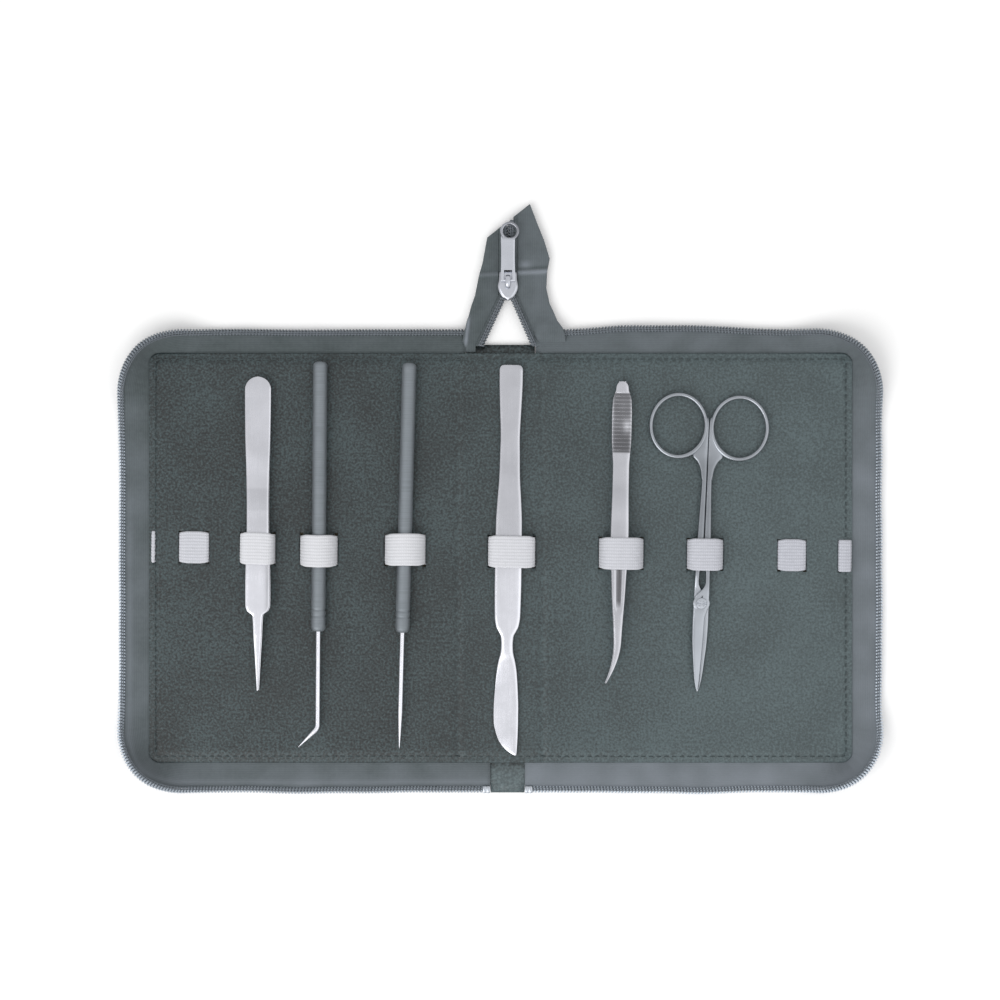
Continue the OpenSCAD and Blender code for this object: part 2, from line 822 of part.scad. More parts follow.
// One piece: waisted handle, narrow neck and a bellied blade with its back on the right
module scalpel() {
    g = scalpel_w / 2;
    low = scalpel_head - scalpel_l;
    handle = [[scalpel_head, g * 0.7], [scalpel_head - 0.5, g * 0.82], [scalpel_head - 1.8, g * 0.88],
              [67, g * 0.88], [57, g * 0.82], [44, g * 0.73], [39, g * 0.75], [29, g * 0.79],
              [20, g * 0.9], [11, g * 0.98], [-11, g], [-25, g * 0.96], [-29, g * 0.85],
              [-31, g * 0.68], [-33, g * 0.5], [low + 43, 2.4], [low + 40, 2.55], [low + 37, 3.2]];
    back = [[4.1, low + 31], [4.6, low + 24], [4.85, low + 14], [4.8, low + 6], [4.5, low]];
    belly = [for (t = [0:0.2:1]) [mix(4.3, -4.5, sin(90 * t)), low + 13 * (1 - cos(90 * t))]];
    edge = [[-4.8, low + 17.5], [-4.3, low + 27], [-3.8, low + 33], [-3.2, low + 37]];
    color("#d6d9df")
        on_band(scalpel_x, scalpel_lean)
            intersection() {
                linear_extrude(10)
                    polygon(concat(
                        [for (p = handle) [p[1], p[0]]], back, belly, edge,
                        [for (k = [len(handle) - 2:-1:0]) [-handle[k][1], handle[k][0]]]));
                translate([-15, 0, 0])
                    rotate([90, 0, 90])
                        linear_extrude(30)
                            polygon([
                                [scalpel_head + 1, lift], [low - 1, lift + 0.9],
                                [low - 1, lift + 1.7], [low + 35, lift + 1.9],
                                [low + 44, lift + scalpel_t], [scalpel_head + 1, lift + scalpel_t]]);
            }
}

// ---------- scissors ----------
lap_r = 4.2;                     // radius of the lapped joint round the screw
ring_gap = 0.3;                  // gap between the two rings, closed
ring_mid = ring_x + ring_wire / 2 + ring_gap / 2;
shank_z = lift + blade_t + touch / 2;      // mid-plane of the scissors

// One finger ring, to the right of the middle line
module finger_ring() {
    wire = ring_wire / 2;
    loft([for (a = [0:15:345])
        let (p = [ring_mid + ring_x * cos(a), shank_l + ring_y * sin(a), shank_z],
             out = unit([cos(a) / ring_x, sin(a) / ring_y, 0]))
        [for (b = [22.5:45:337.5]) p + wire * (out * cos(b) + [0, 0, 1] * sin(b))]], true);
}

// Plan of the shank from the lapped joint to the ring, on the right; its top end lies
// along the middle of the ring's wire
module shank_plan() {
    ring_low = shank_l - ring_y;
    polygon(concat(
        [[0.16, ring_low + 4], [0.08, ring_low - 4], [0.08, 22], [0.5, 17], [1.3, 11], [1.3, 7],
         [0.6, 5.2], [2.9, 4.4], [2.9, 12], [2.55, 32], [2, 48], [2.2, ring_low - 8],
         [3.4, ring_low - 4.5], [5.2, ring_low - 1.6]],
        [for (a = [250:-10:210]) [ring_mid + ring_x * cos(a), shank_l + ring_y * sin(a)]]));
}

// Plan of a blade with its back on the left
module blade_plan() {
    polygon([[-3.1, 2.5], [-3.15, -8], [-2.8, -17], [-2.1, -24], [-1.5, -blade_l + 5],
             [-0.7, -blade_l + 1.2], [-0.2, -blade_l], [0.2, -blade_l + 1.4], [0.75, -23],
             [1.2, -14], [1.5, -6], [2.9, -2.5], [2.9, 2.5]]);
}

// Half a pair: ring and shank on the right, lap and blade between z0 and z0 + blade_t
module half_pair(z0) {
    finger_ring();
    translate([0, 0, shank_z - ring_wire / 2])
        linear_extrude(ring_wire)
            difference() {
                shank_plan();
                circle(r = lap_r + 2 * touch);
            }
    translate([0, 0, z0])
        linear_extrude(blade_t)
            difference() {
                union() {
                    intersection() {
                        shank_plan();
                        square([6, 14]);
                    }
                    polygon([[2.9, 6], [0.6, 6], [-2.4, 2.4], [-3.1, 0], [2.9, -2.5]]);
                    circle(r = lap_r - 1);
                    blade_plan();
                }
                circle(r = screw_r + touch);
            }
}

module scissors_place() {
    on_band(scissors_x - 0.5, scissors_lean)
        translate([0, -pivot_drop, 0])
            children();
}

module scissors_upper_half() {
    color("#b4b9c0")
        scissors_place()
            half_pair(shank_z + touch / 2);
}

module scissors_lower_half() {
    color("#a8adb5")
        scissors_place()
            mirror([1, 0, 0])
                half_pair(lift);
}

module scissors_screw() {
    top = shank_z + blade_t + touch;
    color("#d8dae0")
        scissors_place()
            union() {
                translate([0, 0, lift + 0.1])
                    cylinder(r = screw_r, h = top - lift - 0.1 + touch);
                translate([0, 0, top])
                    difference() {
                        cylinder(r = screw_r + 1, h = 0.7);
                        translate([-3, -0.2, 0.35])
                            cube([6, 0.4, 1]);
                    }
            }
}

module flip(side) {
    mirror([side < 0 ? 1 : 0, 0, 0])
        children();
}

spine_skin();
spine_board();
spine_lining();
spine_elastic();
loop_at(scalpel_loop_x, scalpel_loop_half, scalpel_loop_h, 4);  // scalpel_loop
flip(-1) hinge_fold();  // left_hinge_fold
hinge_fold();  // right_hinge_fold
left_tail_tape();
right_tail_tape();
tail_teeth(-1, vee_left, left_row_end);  // left_tail_teeth
tail_teeth(1, vee_right, right_row_end);  // right_tail_teeth
flip(-1) zip_end_tape(zip_end_x(-1));  // left_zip_end_tape
zip_end_tape(zip_end_x(1));  // right_zip_end_tape
flip(-1) zip_end_teeth(zip_end_x(-1));  // left_zip_end_teeth
zip_end_teeth(zip_end_x(1));  // right_zip_end_teeth
zip_end_stops();
flip(-1) cover_skin();  // left_skin
cover_board(-1);  // left_board
cover_lining(-1);  // left_lining
left_elastic();
flip(-1) zip_tape();  // left_zip_tape
flip(-1) zip_teeth();  // left_zip_teeth
loop_at(fine_forceps_x, fine_loop, fine_loop_h, 5);  // fine_forceps_loop
loop_at(bent_needle_x, bent_loop, needle_loop_h, 2);  // bent_needle_loop
loop_at(straight_needle_x, straight_loop, needle_loop_h, 2);  // straight_needle_loop
spare_loop_at(left_spare_x);  // left_spare_loop
cover_skin();  // right_skin
cover_board(1);  // right_board
cover_lining(1);  // right_lining
right_elastic();
zip_tape();  // right_zip_tape
zip_teeth();  // right_zip_teeth
loop_at(curved_forceps_x, curved_loop, curved_loop_h, 3);  // curved_forceps_loop
loop_at(scissors_x, scissors_loop_half, scissors_loop_h, 3);  // scissors_loop
spare_loop_at(right_spare_x);  // right_spare_loop
slider_body();
slider_bail();
puller();
fine_forceps_lower_arm();
fine_forceps_upper_arm();
curved_forceps_lower_arm();
curved_forceps_upper_arm();
on_band(bent_needle_x) needle_handle();  // bent_needle_handle
on_band(bent_needle_x) bent_needle_steel();
on_band(straight_needle_x, straight_lean) needle_handle();  // straight_needle_handle
on_band(straight_needle_x, straight_lean) straight_needle_steel();
scalpel();
scissors_lower_half();
scissors_upper_half();
scissors_screw();
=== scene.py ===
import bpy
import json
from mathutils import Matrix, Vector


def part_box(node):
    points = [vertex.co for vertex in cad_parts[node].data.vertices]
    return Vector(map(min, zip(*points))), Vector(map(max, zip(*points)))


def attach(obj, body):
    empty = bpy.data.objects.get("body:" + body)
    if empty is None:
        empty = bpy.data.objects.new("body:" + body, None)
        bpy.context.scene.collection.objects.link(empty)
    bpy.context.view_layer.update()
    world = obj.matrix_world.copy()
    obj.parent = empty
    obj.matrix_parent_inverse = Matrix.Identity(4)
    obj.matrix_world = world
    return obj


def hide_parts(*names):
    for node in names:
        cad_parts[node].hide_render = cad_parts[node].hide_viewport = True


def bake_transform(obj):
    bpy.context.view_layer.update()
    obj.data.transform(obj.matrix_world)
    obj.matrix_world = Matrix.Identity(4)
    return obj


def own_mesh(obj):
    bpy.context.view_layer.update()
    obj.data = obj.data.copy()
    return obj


bl_info = {
    "name": "Zip-round instrument case",
    "version": (1, 0, 0),
    "blender": (4, 5, 0),
    "location": "View3D > Sidebar > Instrument case",
    "description": "Builds the leatherette, elastic, zip and steel of a case of dissecting instruments",
    "category": "Object",
}

import json
import math

import bpy
import bmesh
import numpy as np
from mathutils import Matrix, Vector, noise

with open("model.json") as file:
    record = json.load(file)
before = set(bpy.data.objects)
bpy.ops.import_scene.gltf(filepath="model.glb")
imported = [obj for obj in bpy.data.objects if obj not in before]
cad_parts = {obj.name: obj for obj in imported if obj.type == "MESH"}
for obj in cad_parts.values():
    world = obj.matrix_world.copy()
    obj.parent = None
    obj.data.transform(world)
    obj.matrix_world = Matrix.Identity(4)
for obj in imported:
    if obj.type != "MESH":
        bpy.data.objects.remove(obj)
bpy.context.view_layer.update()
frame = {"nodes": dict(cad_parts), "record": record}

MM = 0.001                    # one millimetre; shapes are worked out in millimetres


# ---------- measures of the frame ----------

def corners(node):
    """Lowest and highest corner of a node, in millimetres."""
    low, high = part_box(node)
    return low / MM, high / MM


def middle(node):
    """Middle of a node's box, in millimetres."""
    low, high = corners(node)
    return (low + high) / 2


def mix(a, b, t):
    return a + (b - a) * t


def ease(low, high, value):
    """0 below low, 1 above high and a smooth rise between them."""
    t = min(max((value - low) / (high - low), 0), 1)
    return t * t * (3 - 2 * t)


def bump(value, width):
    """A bell of height 1 at value 0."""
    return math.exp(-(value / width) ** 2)


SPINE_LOW, SPINE_HIGH = corners("spine_lining")
COVER_LOW, COVER_HIGH = corners("right_lining")
TEETH_HIGH = corners("right_zip_teeth")[1]
SPINE_EDGE = SPINE_HIGH.x     # the stiff plate of the spine ends here
COVER_EDGE = COVER_LOW.x      # and the cover's begins here
HINGE_X = (SPINE_EDGE + COVER_EDGE) / 2
FORE_EDGE = COVER_HIGH.x
PANEL_TOP = SPINE_HIGH.y
PANEL_BOTTOM = SPINE_LOW.y
LINING_TOP = SPINE_HIGH.z
LINING_T = SPINE_HIGH.z - SPINE_LOW.z
SKIN_T = corners("spine_skin")[1].z
PANEL_MID = (PANEL_TOP + PANEL_BOTTOM) / 2
PANEL_HALF = (PANEL_TOP - PANEL_BOTTOM) / 2
TAB_TOP = corners("spine_skin")[1].y
TAB_BOTTOM = corners("spine_skin")[0].y
HALF_W = TEETH_HIGH.x
HALF_H = TEETH_HIGH.y
SEAM_Z = (SKIN_T + SPINE_LOW.z) / 2

BAND_W = 12.5                 # width of the elastic
BAND_REST = 0.05              # gap between the lining and a loop that lies on it
BAND_T = corners("left_spare_loop")[1].z - LINING_TOP - BAND_REST
BAND_FLAT = LINING_TOP + BAND_REST + BAND_T / 2     # the middle of the band there
BAND_LEFT = middle("left_spare_loop")
BAND_RIGHT = middle("right_spare_loop")
BAND_SLOPE = (BAND_LEFT.y - BAND_RIGHT.y) / (BAND_RIGHT.x - BAND_LEFT.x)
BAND_TILT = math.atan(BAND_SLOPE)
BAND_Y = BAND_LEFT.y + BAND_LEFT.x * BAND_SLOPE
HIDDEN_Z = middle("spine_elastic").z

COVER_R = 4                   # corner radius of the cover
CORNER_R = 26.5               # radius of the row of teeth round a corner
CORNER_RISE = 9.5             # height that the tape stands up there
RISE_RUN = 14                 # straight edge over which it comes down
CHAIN_W = 2.9                 # width and height of a row of teeth
CHAIN_T = 2.6
COIL_SQUASH = 0.86            # how much a turn of the coil is flattened
TURN_STEPS = 10               # points on each turn of the coil
TAPE_T = 0.6                  # thickness that the zip's tape is drawn with
TAPE_STEP = 1.6               # distance between rows of points along it
TAPE_REACH = CHAIN_W - 0.7    # how far inside a row's outer side its tape ends
TAIL_LEAN = middle("slider_body").x
TAIL_Z = (corners("left_tail_teeth")[0].z + corners("left_tail_teeth")[1].z) / 2
VEE_Y = corners("left_tail_teeth")[0].y
VEE_LEFT = TAIL_LEAN - 9      # the rows of the tail start here, at the foot of the open V
VEE_RIGHT = TAIL_LEAN + 8.6
MEET_Y = corners("slider_body")[0].y + 3            # the rows meet this far inside the slider
LEFT_END_X = corners("left_zip_end_tape")[1].x
RIGHT_END_X = corners("right_zip_end_tape")[0].x
STOP_L = 3                    # length of a crimped stop


# ---------- colours and sizes that a user would change ----------

def linear(text):
    """An sRGB hex colour as the linear RGBA that Blender's sockets take."""
    parts = [int(text[k:k + 2], 16) / 255 for k in (1, 3, 5)]
    return [p / 12.92 if p <= 0.04045 else ((p + 0.055) / 1.055) ** 2.4 for p in parts] + [1]


def colour(label, text, use):
    return bpy.props.FloatVectorProperty(
        name=label, description=use, subtype="COLOR", size=4, min=0, max=1, default=linear(text))


def length(label, value, use):
    return bpy.props.FloatProperty(
        name=label, description=use, unit="LENGTH", min=0, precision=5, default=value * MM)


class CaseColours(bpy.types.PropertyGroup):
    """Colours of the case and its instruments"""
    lining: colour("Lining", "#283234", "Leatherette that the instruments lie on")
    outside: colour("Outside", "#2e3739", "Leatherette of the outside")
    thread: colour("Thread", "#3a4547", "Sewing thread")
    tape: colour("Zip tape", "#495254", "Woven tape of the zip")
    coil: colour("Zip coil", "#6c737a", "Nylon coil of the zip")
    elastic: colour("Elastic", "#c5c7d0", "Woven elastic where it is dullest")
    steel: colour("Bright steel", "#dadbe2", "Forceps and scalpel")
    grey_steel: colour("Grey steel", "#aaafb6", "Scissors")
    handle: colour("Needle handles", "#80868b", "Turned aluminium")
    plating: colour("Plating", "#bfc2ca", "Slider, puller and zip stops")
    board: colour("Board", "#837a68", "Stiffening board")


class CaseSizes(bpy.types.PropertyGroup):
    """Sizes of the details that the sewn and woven pieces have"""
    stitch_pitch: length("Stitch pitch", 3.0, "Distance from one stitch to the next")
    stitch_length: length("Stitch length", 2.2, "Length of a stitch that shows")
    thread_width: length("Thread width", 0.5, "Diameter of the sewing thread")
    seam_inset: length("Seam inset", 2.4, "Distance of the seam from the cover's edge")
    coil_pitch: length("Coil pitch", 1.25, "Distance from one turn of the zip's coil to the next")
    coil_wire: length("Coil wire", 0.8, "Diameter of the nylon wire")
    grain: length("Leather grain", 0.9, "Width of one cell of the embossed grain")
    thread_gap: length("Tape rib", 0.7, "Distance from one rib of the woven tape to the next")
    band_rib: length("Elastic rib", 1.25, "Distance from one rubber core of the elastic to the next")


# ---------- materials ----------

def add(tree, kind, sockets=None, **settings):
    """Adds a node: sockets gives its inputs a value or a link, settings are its properties."""
    made = tree.nodes.new(kind)
    for name, value in settings.items():
        setattr(made, name, value)
    for name, value in (sockets or {}).items():
        if isinstance(value, bpy.types.NodeSocket):
            tree.links.new(value, made.inputs[name])
        else:
            made.inputs[name].default_value = value
    return made


def start(name, roughness, metallic=0.0, **sockets):
    """A new material with its Principled shader set; returns material, tree and shader."""
    made = bpy.data.materials.new(name)
    made.use_nodes = True
    tree = made.node_tree
    shader = tree.nodes["Principled BSDF"]
    shader.inputs["Roughness"].default_value = roughness
    shader.inputs["Metallic"].default_value = metallic
    for socket, value in sockets.items():
        shader.inputs[socket.replace("_", " ")].default_value = value
    return made, tree, shader


def shades(tree, base, factor, darker, lighter):
    """The base colour, from darker to lighter times itself as factor goes from 0 to 1."""
    low = [c * darker for c in base[:3]] + [1]
    high = [min(c * lighter, 1) for c in base[:3]] + [1]
    return add(tree, "ShaderNodeMix", {0: factor, 6: low, 7: high}, data_type="RGBA").outputs[2]


def per_mm(size):
    """Scale of a pattern, on coordinates in metres, whose features are that many millimetres."""
    return 1 / (size * MM)


def tint_by_wear_and_light(tree, ground, base, gain, lift=(0, 0, 0)):
    """The ground colour, turning to gain times the base plus lift as the attribute for worn places and
    painted light rises.
    """
    wear_and_painted_light = add(tree, "ShaderNodeAttribute", attribute_name="wear_and_painted_light")
    pale = [min(c * gain + more, 1) for c, more in zip(base, lift)] + [1]
    return add(tree, "ShaderNodeMix", {0: wear_and_painted_light.outputs["Fac"], 6: ground, 7: pale},
               data_type="RGBA").outputs[2]


def where(tree):
    """Place on the piece, in metres."""
    return add(tree, "ShaderNodeTexCoord").outputs["Object"]


def cloudy(tree, place, scale, detail, roughness=0.5):
    """Noise from 0 to 1."""
    return add(tree, "ShaderNodeTexNoise", {"Vector": place, "Scale": scale, "Detail": detail,
                                            "Roughness": roughness}).outputs["Fac"]


def reckon(tree, operation, first, second):
    """One sum on two sockets, or on a socket and a number."""
    return add(tree, "ShaderNodeMath", {0: first, 1: second}, operation=operation).outputs[0]


def ranged(tree, value, low, high, start_at=0.0, end_at=1.0):
    """The value, moved from the range start_at to end_at into the range low to high."""
    return add(tree, "ShaderNodeMapRange", {"Value": value, "From Min": start_at,
                                            "From Max": end_at, "To Min": low,
                                            "To Max": high}).outputs[0]


def raised(tree, height, strength, depth, over=None):
    """Relief that is depth millimetres high, on its own or over another relief."""
    sockets = {"Height": height, "Strength": strength, "Distance": depth * MM}
    if over is not None:
        sockets["Normal"] = over
    return add(tree, "ShaderNodeBump", sockets).outputs[0]


def feed(tree, shader, **sockets):
    """Links sockets to the shader's own, whose names are written with _ for a space."""
    for name, socket in sockets.items():
        tree.links.new(socket, shader.inputs[name.replace("_", " ")])


def leatherette(name, base, grain):
    """PVC leatherette: cloth coated with PVC and embossed while hot. Small raised cells with
    soft valleys break the gloss into fine mottle; worn places are paler, and so are places where light is
    painted."""
    made, tree, shader = start(name, 0.5)
    place = where(tree)
    cells = add(tree, "ShaderNodeTexVoronoi", {"Vector": place, "Scale": per_mm(grain)},
                feature="SMOOTH_F1").outputs["Distance"]
    fine = cloudy(tree, place, per_mm(grain), 2, 0.6)
    broad = reckon(tree, "MULTIPLY", cloudy(tree, place, per_mm(28), 3), 0.35)
    spread = ranged(tree, reckon(tree, "ADD", fine, broad), 0, 1, 0.53, 0.82)
    pale = tint_by_wear_and_light(tree, shades(tree, base, spread, 0.35, 1.65), base, 3.0, (0.02, 0.02, 0.02))
    final = add(tree, "ShaderNodeMix", {0: 1.0, 6: pale, 7: ranged(tree, spread, 0.72, 1.28)},
                data_type="RGBA", blend_type="MULTIPLY")
    press = raised(tree, reckon(tree, "MULTIPLY", cells, -1.0), 0.6, 0.2)
    feed(tree, shader, Base_Color=final.outputs[2], Roughness=ranged(tree, cells, 0.42, 0.62),
         Normal=raised(tree, fine, 0.5, 0.2, press))
    return made


def woven(name, base, rib, darker, lighter, roughness):
    """Narrow-woven polyester: warp ribs run along the tape and weft threads cross them, so it
    shows fine lengthways lines and a dull, slightly fuzzy surface. Threads are drawn at about
    twice their real width, because finer ones wouldn't show."""
    made, tree, shader = start(name, roughness, Sheen_Weight=0.15, Sheen_Roughness=0.5)
    place = add(tree, "ShaderNodeUVMap", uv_map="Weave").outputs[0]
    ribs, weft = [add(tree, "ShaderNodeTexWave", {"Vector": place, "Scale": 0.314 / gap,
                                                  "Distortion": bent, "Detail Scale": 1.0},
                      wave_type="BANDS", bands_direction=along).outputs["Fac"]
                  for gap, bent, along in ((rib, 0.3, "X"), (rib * 0.7, 0.4, "Y"))]
    both = reckon(tree, "MULTIPLY", ribs, weft)
    tone = reckon(tree, "ADD", both, cloudy(tree, place, 0.45, 4, 0.65))
    ground = shades(tree, base, ranged(tree, tone, 0, 1, 0.35, 1.3), darker, lighter)
    feed(tree, shader, Base_Color=tint_by_wear_and_light(tree, ground, base, 1.9, (0.1, 0.093, 0.12)),
         Normal=raised(tree, both, 0.5, 0.15))
    return made


def spun(name, base):
    """Spun polyester sewing thread: two plies twisted together, matt with fine fuzz."""
    made, tree, shader = start(name, 0.8, Sheen_Weight=0.2)
    plies = cloudy(tree, where(tree), per_mm(0.4), 3)
    feed(tree, shader, Base_Color=shades(tree, base, plies, 0.6, 1.4),
         Normal=raised(tree, plies, 0.5, 0.08))
    return made


def nylon(name, base):
    """Extruded nylon wire, wound into the zip's coil: smooth and waxy, with soft highlights."""
    made, tree, shader = start(name, 0.32)
    cloud = cloudy(tree, where(tree), per_mm(6), 3)
    ground = shades(tree, base, cloud, 0.8, 1.2)
    feed(tree, shader, Base_Color=tint_by_wear_and_light(tree, ground, base, 3.6, (0.12, 0.12, 0.13)),
         Roughness=ranged(tree, cloud, 0.25, 0.45))
    return made


def metal(name, base, roughness, line_mm, across, depth):
    """A metal surface with fine lines left by its last tool: line_mm is their distance, across
    says along which axis they follow each other, and depth is their height in millimetres."""
    made, tree, shader = start(name, roughness, 1.0)
    place = where(tree)
    squeeze = {"X": (1, 0.02, 1), "Y": (0.02, 1, 0.02)}[across]
    drawn = add(tree, "ShaderNodeMapping", {"Vector": place, "Scale": squeeze}).outputs[0]
    lines = cloudy(tree, drawn, per_mm(line_mm), 2)
    cloud = cloudy(tree, place, per_mm(9), 4, 0.6)
    smear = reckon(tree, "MULTIPLY", lines, cloud)
    feed(tree, shader,
         Base_Color=tint_by_wear_and_light(tree, shades(tree, base, cloud, 0.9, 1.1), base, 0.12),
         Roughness=ranged(tree, smear, roughness * 0.75, roughness * 1.35, 0, 0.5),
         Normal=raised(tree, lines, 0.4, depth))
    return made


def greyboard(name, base):
    """Greyboard: pressed waste paper with short fibres and specks, quite matt."""
    made, tree, shader = start(name, 0.9)
    pulp = cloudy(tree, where(tree), per_mm(1.5), 5)
    feed(tree, shader, Base_Color=shades(tree, base, pulp, 0.8, 1.15))
    return made


MATERIALS = {}


def material(name):
    """Each material is made once, the first time that a piece asks for it."""
    if name in MATERIALS:
        return MATERIALS[name]
    tint = bpy.context.scene.case_colours
    size = bpy.context.scene.case_sizes
    makers = {
        "lining_leatherette": lambda n: leatherette(n, tint.lining, size.grain / MM),
        "cover_leatherette": lambda n: leatherette(n, tint.outside, size.grain / MM * 1.2),
        "zip_tape": lambda n: woven(n, tint.tape, size.thread_gap / MM, 0.72, 1.4, 0.8),
        "white_elastic": lambda n: woven(n, tint.elastic, size.band_rib / MM, 0.86, 1.06, 0.85),
        "sewing_thread": lambda n: spun(n, tint.thread),
        "coil_thread": lambda n: spun(n, tint.coil),
        "zip_coil": lambda n: nylon(n, tint.coil),
        # Stainless steel, polished on a wheel: bright, with hairlines along its length.
        "polished_steel": lambda n: metal(n, tint.steel, 0.24, 0.35, "X", 0.004),
        # Stainless steel, tumbled after forging: softer and greyer.
        "tumbled_steel": lambda n: metal(n, tint.grey_steel, 0.3, 0.5, "X", 0.006),
        # Aluminium, turned on a lathe and left dull: rings follow each other along Y.
        "turned_aluminium": lambda n: metal(n, tint.handle, 0.62, 0.3, "Y", 0.02),
        # Zinc casting, nickel plated: bright over a slightly uneven ground.
        "nickel_plating": lambda n: metal(n, tint.plating, 0.26, 1.2, "X", 0.02),
        "greyboard": lambda n: greyboard(n, tint.board),
    }
    MATERIALS[name] = makers[name](name)
    return MATERIALS[name]


# ---------- making pieces ----------

def piece(name, points, faces, finish, slot, place=None, weave=None, wear_and_painted_light=None, sharp=None,
          closed=True):
    """A mesh piece from points in millimetres. weave gives each point its place across and
    along the cloth; the argument after it tells how worn or dulled each point is and how much light
    or shade is painted on it (a list, or a function of the place); and sharp the angle above which an edge
    is hard."""
    local = points
    if place is not None:
        points = [place @ Vector(p) for p in points]
    mesh = bpy.data.meshes.new(name)
    mesh.from_pydata([Vector(p) * MM for p in points], [], faces)
    middle_edges = [all(abs(points[v][0]) < 1e-4 for v in edge.vertices) for edge in mesh.edges]
    if not closed and any(middle_edges):
        # The two halves of a sheet meet here, and must not be shaded as a rounded edge.
        mesh.attributes.new("sharp_edge", "BOOLEAN", "EDGE").data.foreach_set(
            "value", middle_edges)
    if weave is not None:
        layer = mesh.uv_layers.new(name="Weave")
        corner_points = np.zeros(len(mesh.loops), np.int32)
        mesh.loops.foreach_get("vertex_index", corner_points)
        layer.uv.foreach_set("vector", np.array(weave, np.float32)[corner_points].ravel())
    if callable(wear_and_painted_light):
        wear_and_painted_light = [wear_and_painted_light(*p) for p in local]
    if wear_and_painted_light is not None:
        mesh.attributes.new("wear_and_painted_light", "FLOAT", "POINT").data.foreach_set(
            "value", np.array(wear_and_painted_light, np.float32))
    if closed:
        work = bmesh.new()
        work.from_mesh(mesh)
        bmesh.ops.recalc_face_normals(work, faces=work.faces)
        work.to_mesh(mesh)
        work.free()
    mesh.shade_smooth()
    if sharp:
        mesh.set_sharp_from_angle(angle=math.radians(sharp))
    mesh.materials.append(material(finish))
    made = bpy.data.objects.new(name, mesh)
    bpy.context.scene.collection.objects.link(made)
    return made


def thicken(made, thickness, offset):
    """Gives a sheet its thickness, in millimetres: offset -1 grows it away from its face."""
    solid = made.modifiers.new("thickness", "SOLIDIFY")
    solid.thickness = thickness * MM
    solid.offset = offset
    return made


def loft(rings, endless=False):
    """Points and faces of a closed skin through rings that have as many points each."""
    n, m = len(rings[0]), len(rings)
    faces = [(i * n + k, i * n + (k + 1) % n, (i + 1) % m * n + (k + 1) % n, (i + 1) % m * n + k)
             for i in range(m if endless else m - 1) for k in range(n)]
    if not endless:
        faces += [tuple(range(n))[::-1], tuple(range((m - 1) * n, m * n))]
    return [p for ring in rings for p in ring], faces


def joined(*parts):
    """Several sets of points and faces as one."""
    points, faces = [], []
    for more_points, more_faces in parts:
        faces += [tuple(len(points) + k for k in face) for face in more_faces]
        points += list(more_points)
    return points, faces


def net(columns, rows, place, cut=None, upward=True):
    """Points and faces of a sheet over two lists; cut says where it is left out."""
    n = len(rows)
    faces = []
    for i in range(len(columns) - 1):
        for k in range(n - 1):
            u, v = mix(columns[i], columns[i + 1], 0.5), mix(rows[k], rows[k + 1], 0.5)
            if cut and cut(u, v):
                continue
            a = i * n + k
            faces.append((a, a + n, a + n + 1, a + 1) if upward else (a, a + 1, a + n + 1, a + n))
    return [place(u, v) for u in columns for v in rows], faces


def row_faces(rows, across, order):
    """Faces between rows of points, across points to a row; order -1 turns them over."""
    return [(i * across + k, i * across + k + 1, (i + 1) * across + k + 1,
             (i + 1) * across + k)[::order] for i in range(rows - 1) for k in range(across - 1)]


def marks(breaks, step):
    """The breaks in order, with values between them no more than step apart."""
    breaks = sorted(set(round(b, 4) for b in breaks))
    found = [breaks[0]]
    for low, high in zip(breaks, breaks[1:]):
        count = max(1, math.ceil((high - low) / step))
        found += [mix(low, high, (k + 1) / count) for k in range(count)]
    return found


def curve_through(table, step):
    """Rows of a table, given by their first column, with smooth rows between them. The slopes
    are limited, so that nothing swells past the rows that were given."""
    rows = np.array(table, float)
    if rows[0, 0] > rows[-1, 0]:
        rows = rows[::-1]
    y = rows[:, 0]
    gaps = np.diff(y)[:, None]
    slopes = np.diff(rows, axis=0) / gaps
    tangents = np.zeros_like(rows)
    tangents[0], tangents[-1] = slopes[0], slopes[-1]
    before, after = slopes[:-1], slopes[1:]
    same = before * after > 0
    with np.errstate(divide="ignore", invalid="ignore"):
        tangents[1:-1] = np.where(same, 2 * before * after / (before + after), 0)
    found = []
    for k in range(len(rows) - 1):
        count = max(2, math.ceil(gaps[k, 0] / step))
        for t in np.arange(count) / count:
            a, b = rows[k], rows[k + 1]
            ta, tb = tangents[k] * gaps[k], tangents[k + 1] * gaps[k]
            found.append((2 * t ** 3 - 3 * t ** 2 + 1) * a + (t ** 3 - 2 * t ** 2 + t) * ta
                         + (3 * t ** 2 - 2 * t ** 3) * b + (t ** 3 - t ** 2) * tb)
    return found + [rows[-1]]


def bar_ring(y, left, right, low, high, square, thin=1.0, count=32):
    """Section of a bar laid along Y. square is 2 for an oval and more for a flatter bar with
    rounded edges; thin is how thick the left edge is, as a share of the right one."""
    ring, half = [], count // 2
    for face in (1, -1):
        for k in range(half):
            x = -face * math.cos(math.pi * (k + 0.5) / half)
            z = face * (1 - abs(x) ** square) ** (1 / square) * mix(thin, 1, (x + 1) / 2)
            ring.append((mix(left, right, (x + 1) / 2), y, mix(low, high, (z + 1) / 2)))
    return ring


def unit(rows):
    """Each row of an array, at length 1."""
    return rows / np.linalg.norm(rows, axis=1)[:, None]


def ahead_of(line):
    """Unit vectors along a line of points."""
    return unit(np.gradient(line, axis=0))


def heading(degrees):
    """Cosine and sine of an angle."""
    return math.cos(math.radians(degrees)), math.sin(math.radians(degrees))


def tube(line, radius, sides=8, up=(0, 0, 1)):
    """Rings of a round tube along a line of points; radius is a number or one for each point."""
    line = np.array(line, float)
    ahead = ahead_of(line)
    side = np.cross(ahead, up)
    side /= np.maximum(np.linalg.norm(side, axis=1), 1e-9)[:, None]
    over = np.cross(side, ahead)
    radii = np.broadcast_to(radius, len(line))
    turns = [2 * math.pi * (k + 0.5) / sides for k in range(sides)]
    return [[p + r * (math.cos(a) * s + math.sin(a) * o) for a in turns]
            for p, s, o, r in zip(line, side, over, radii)]


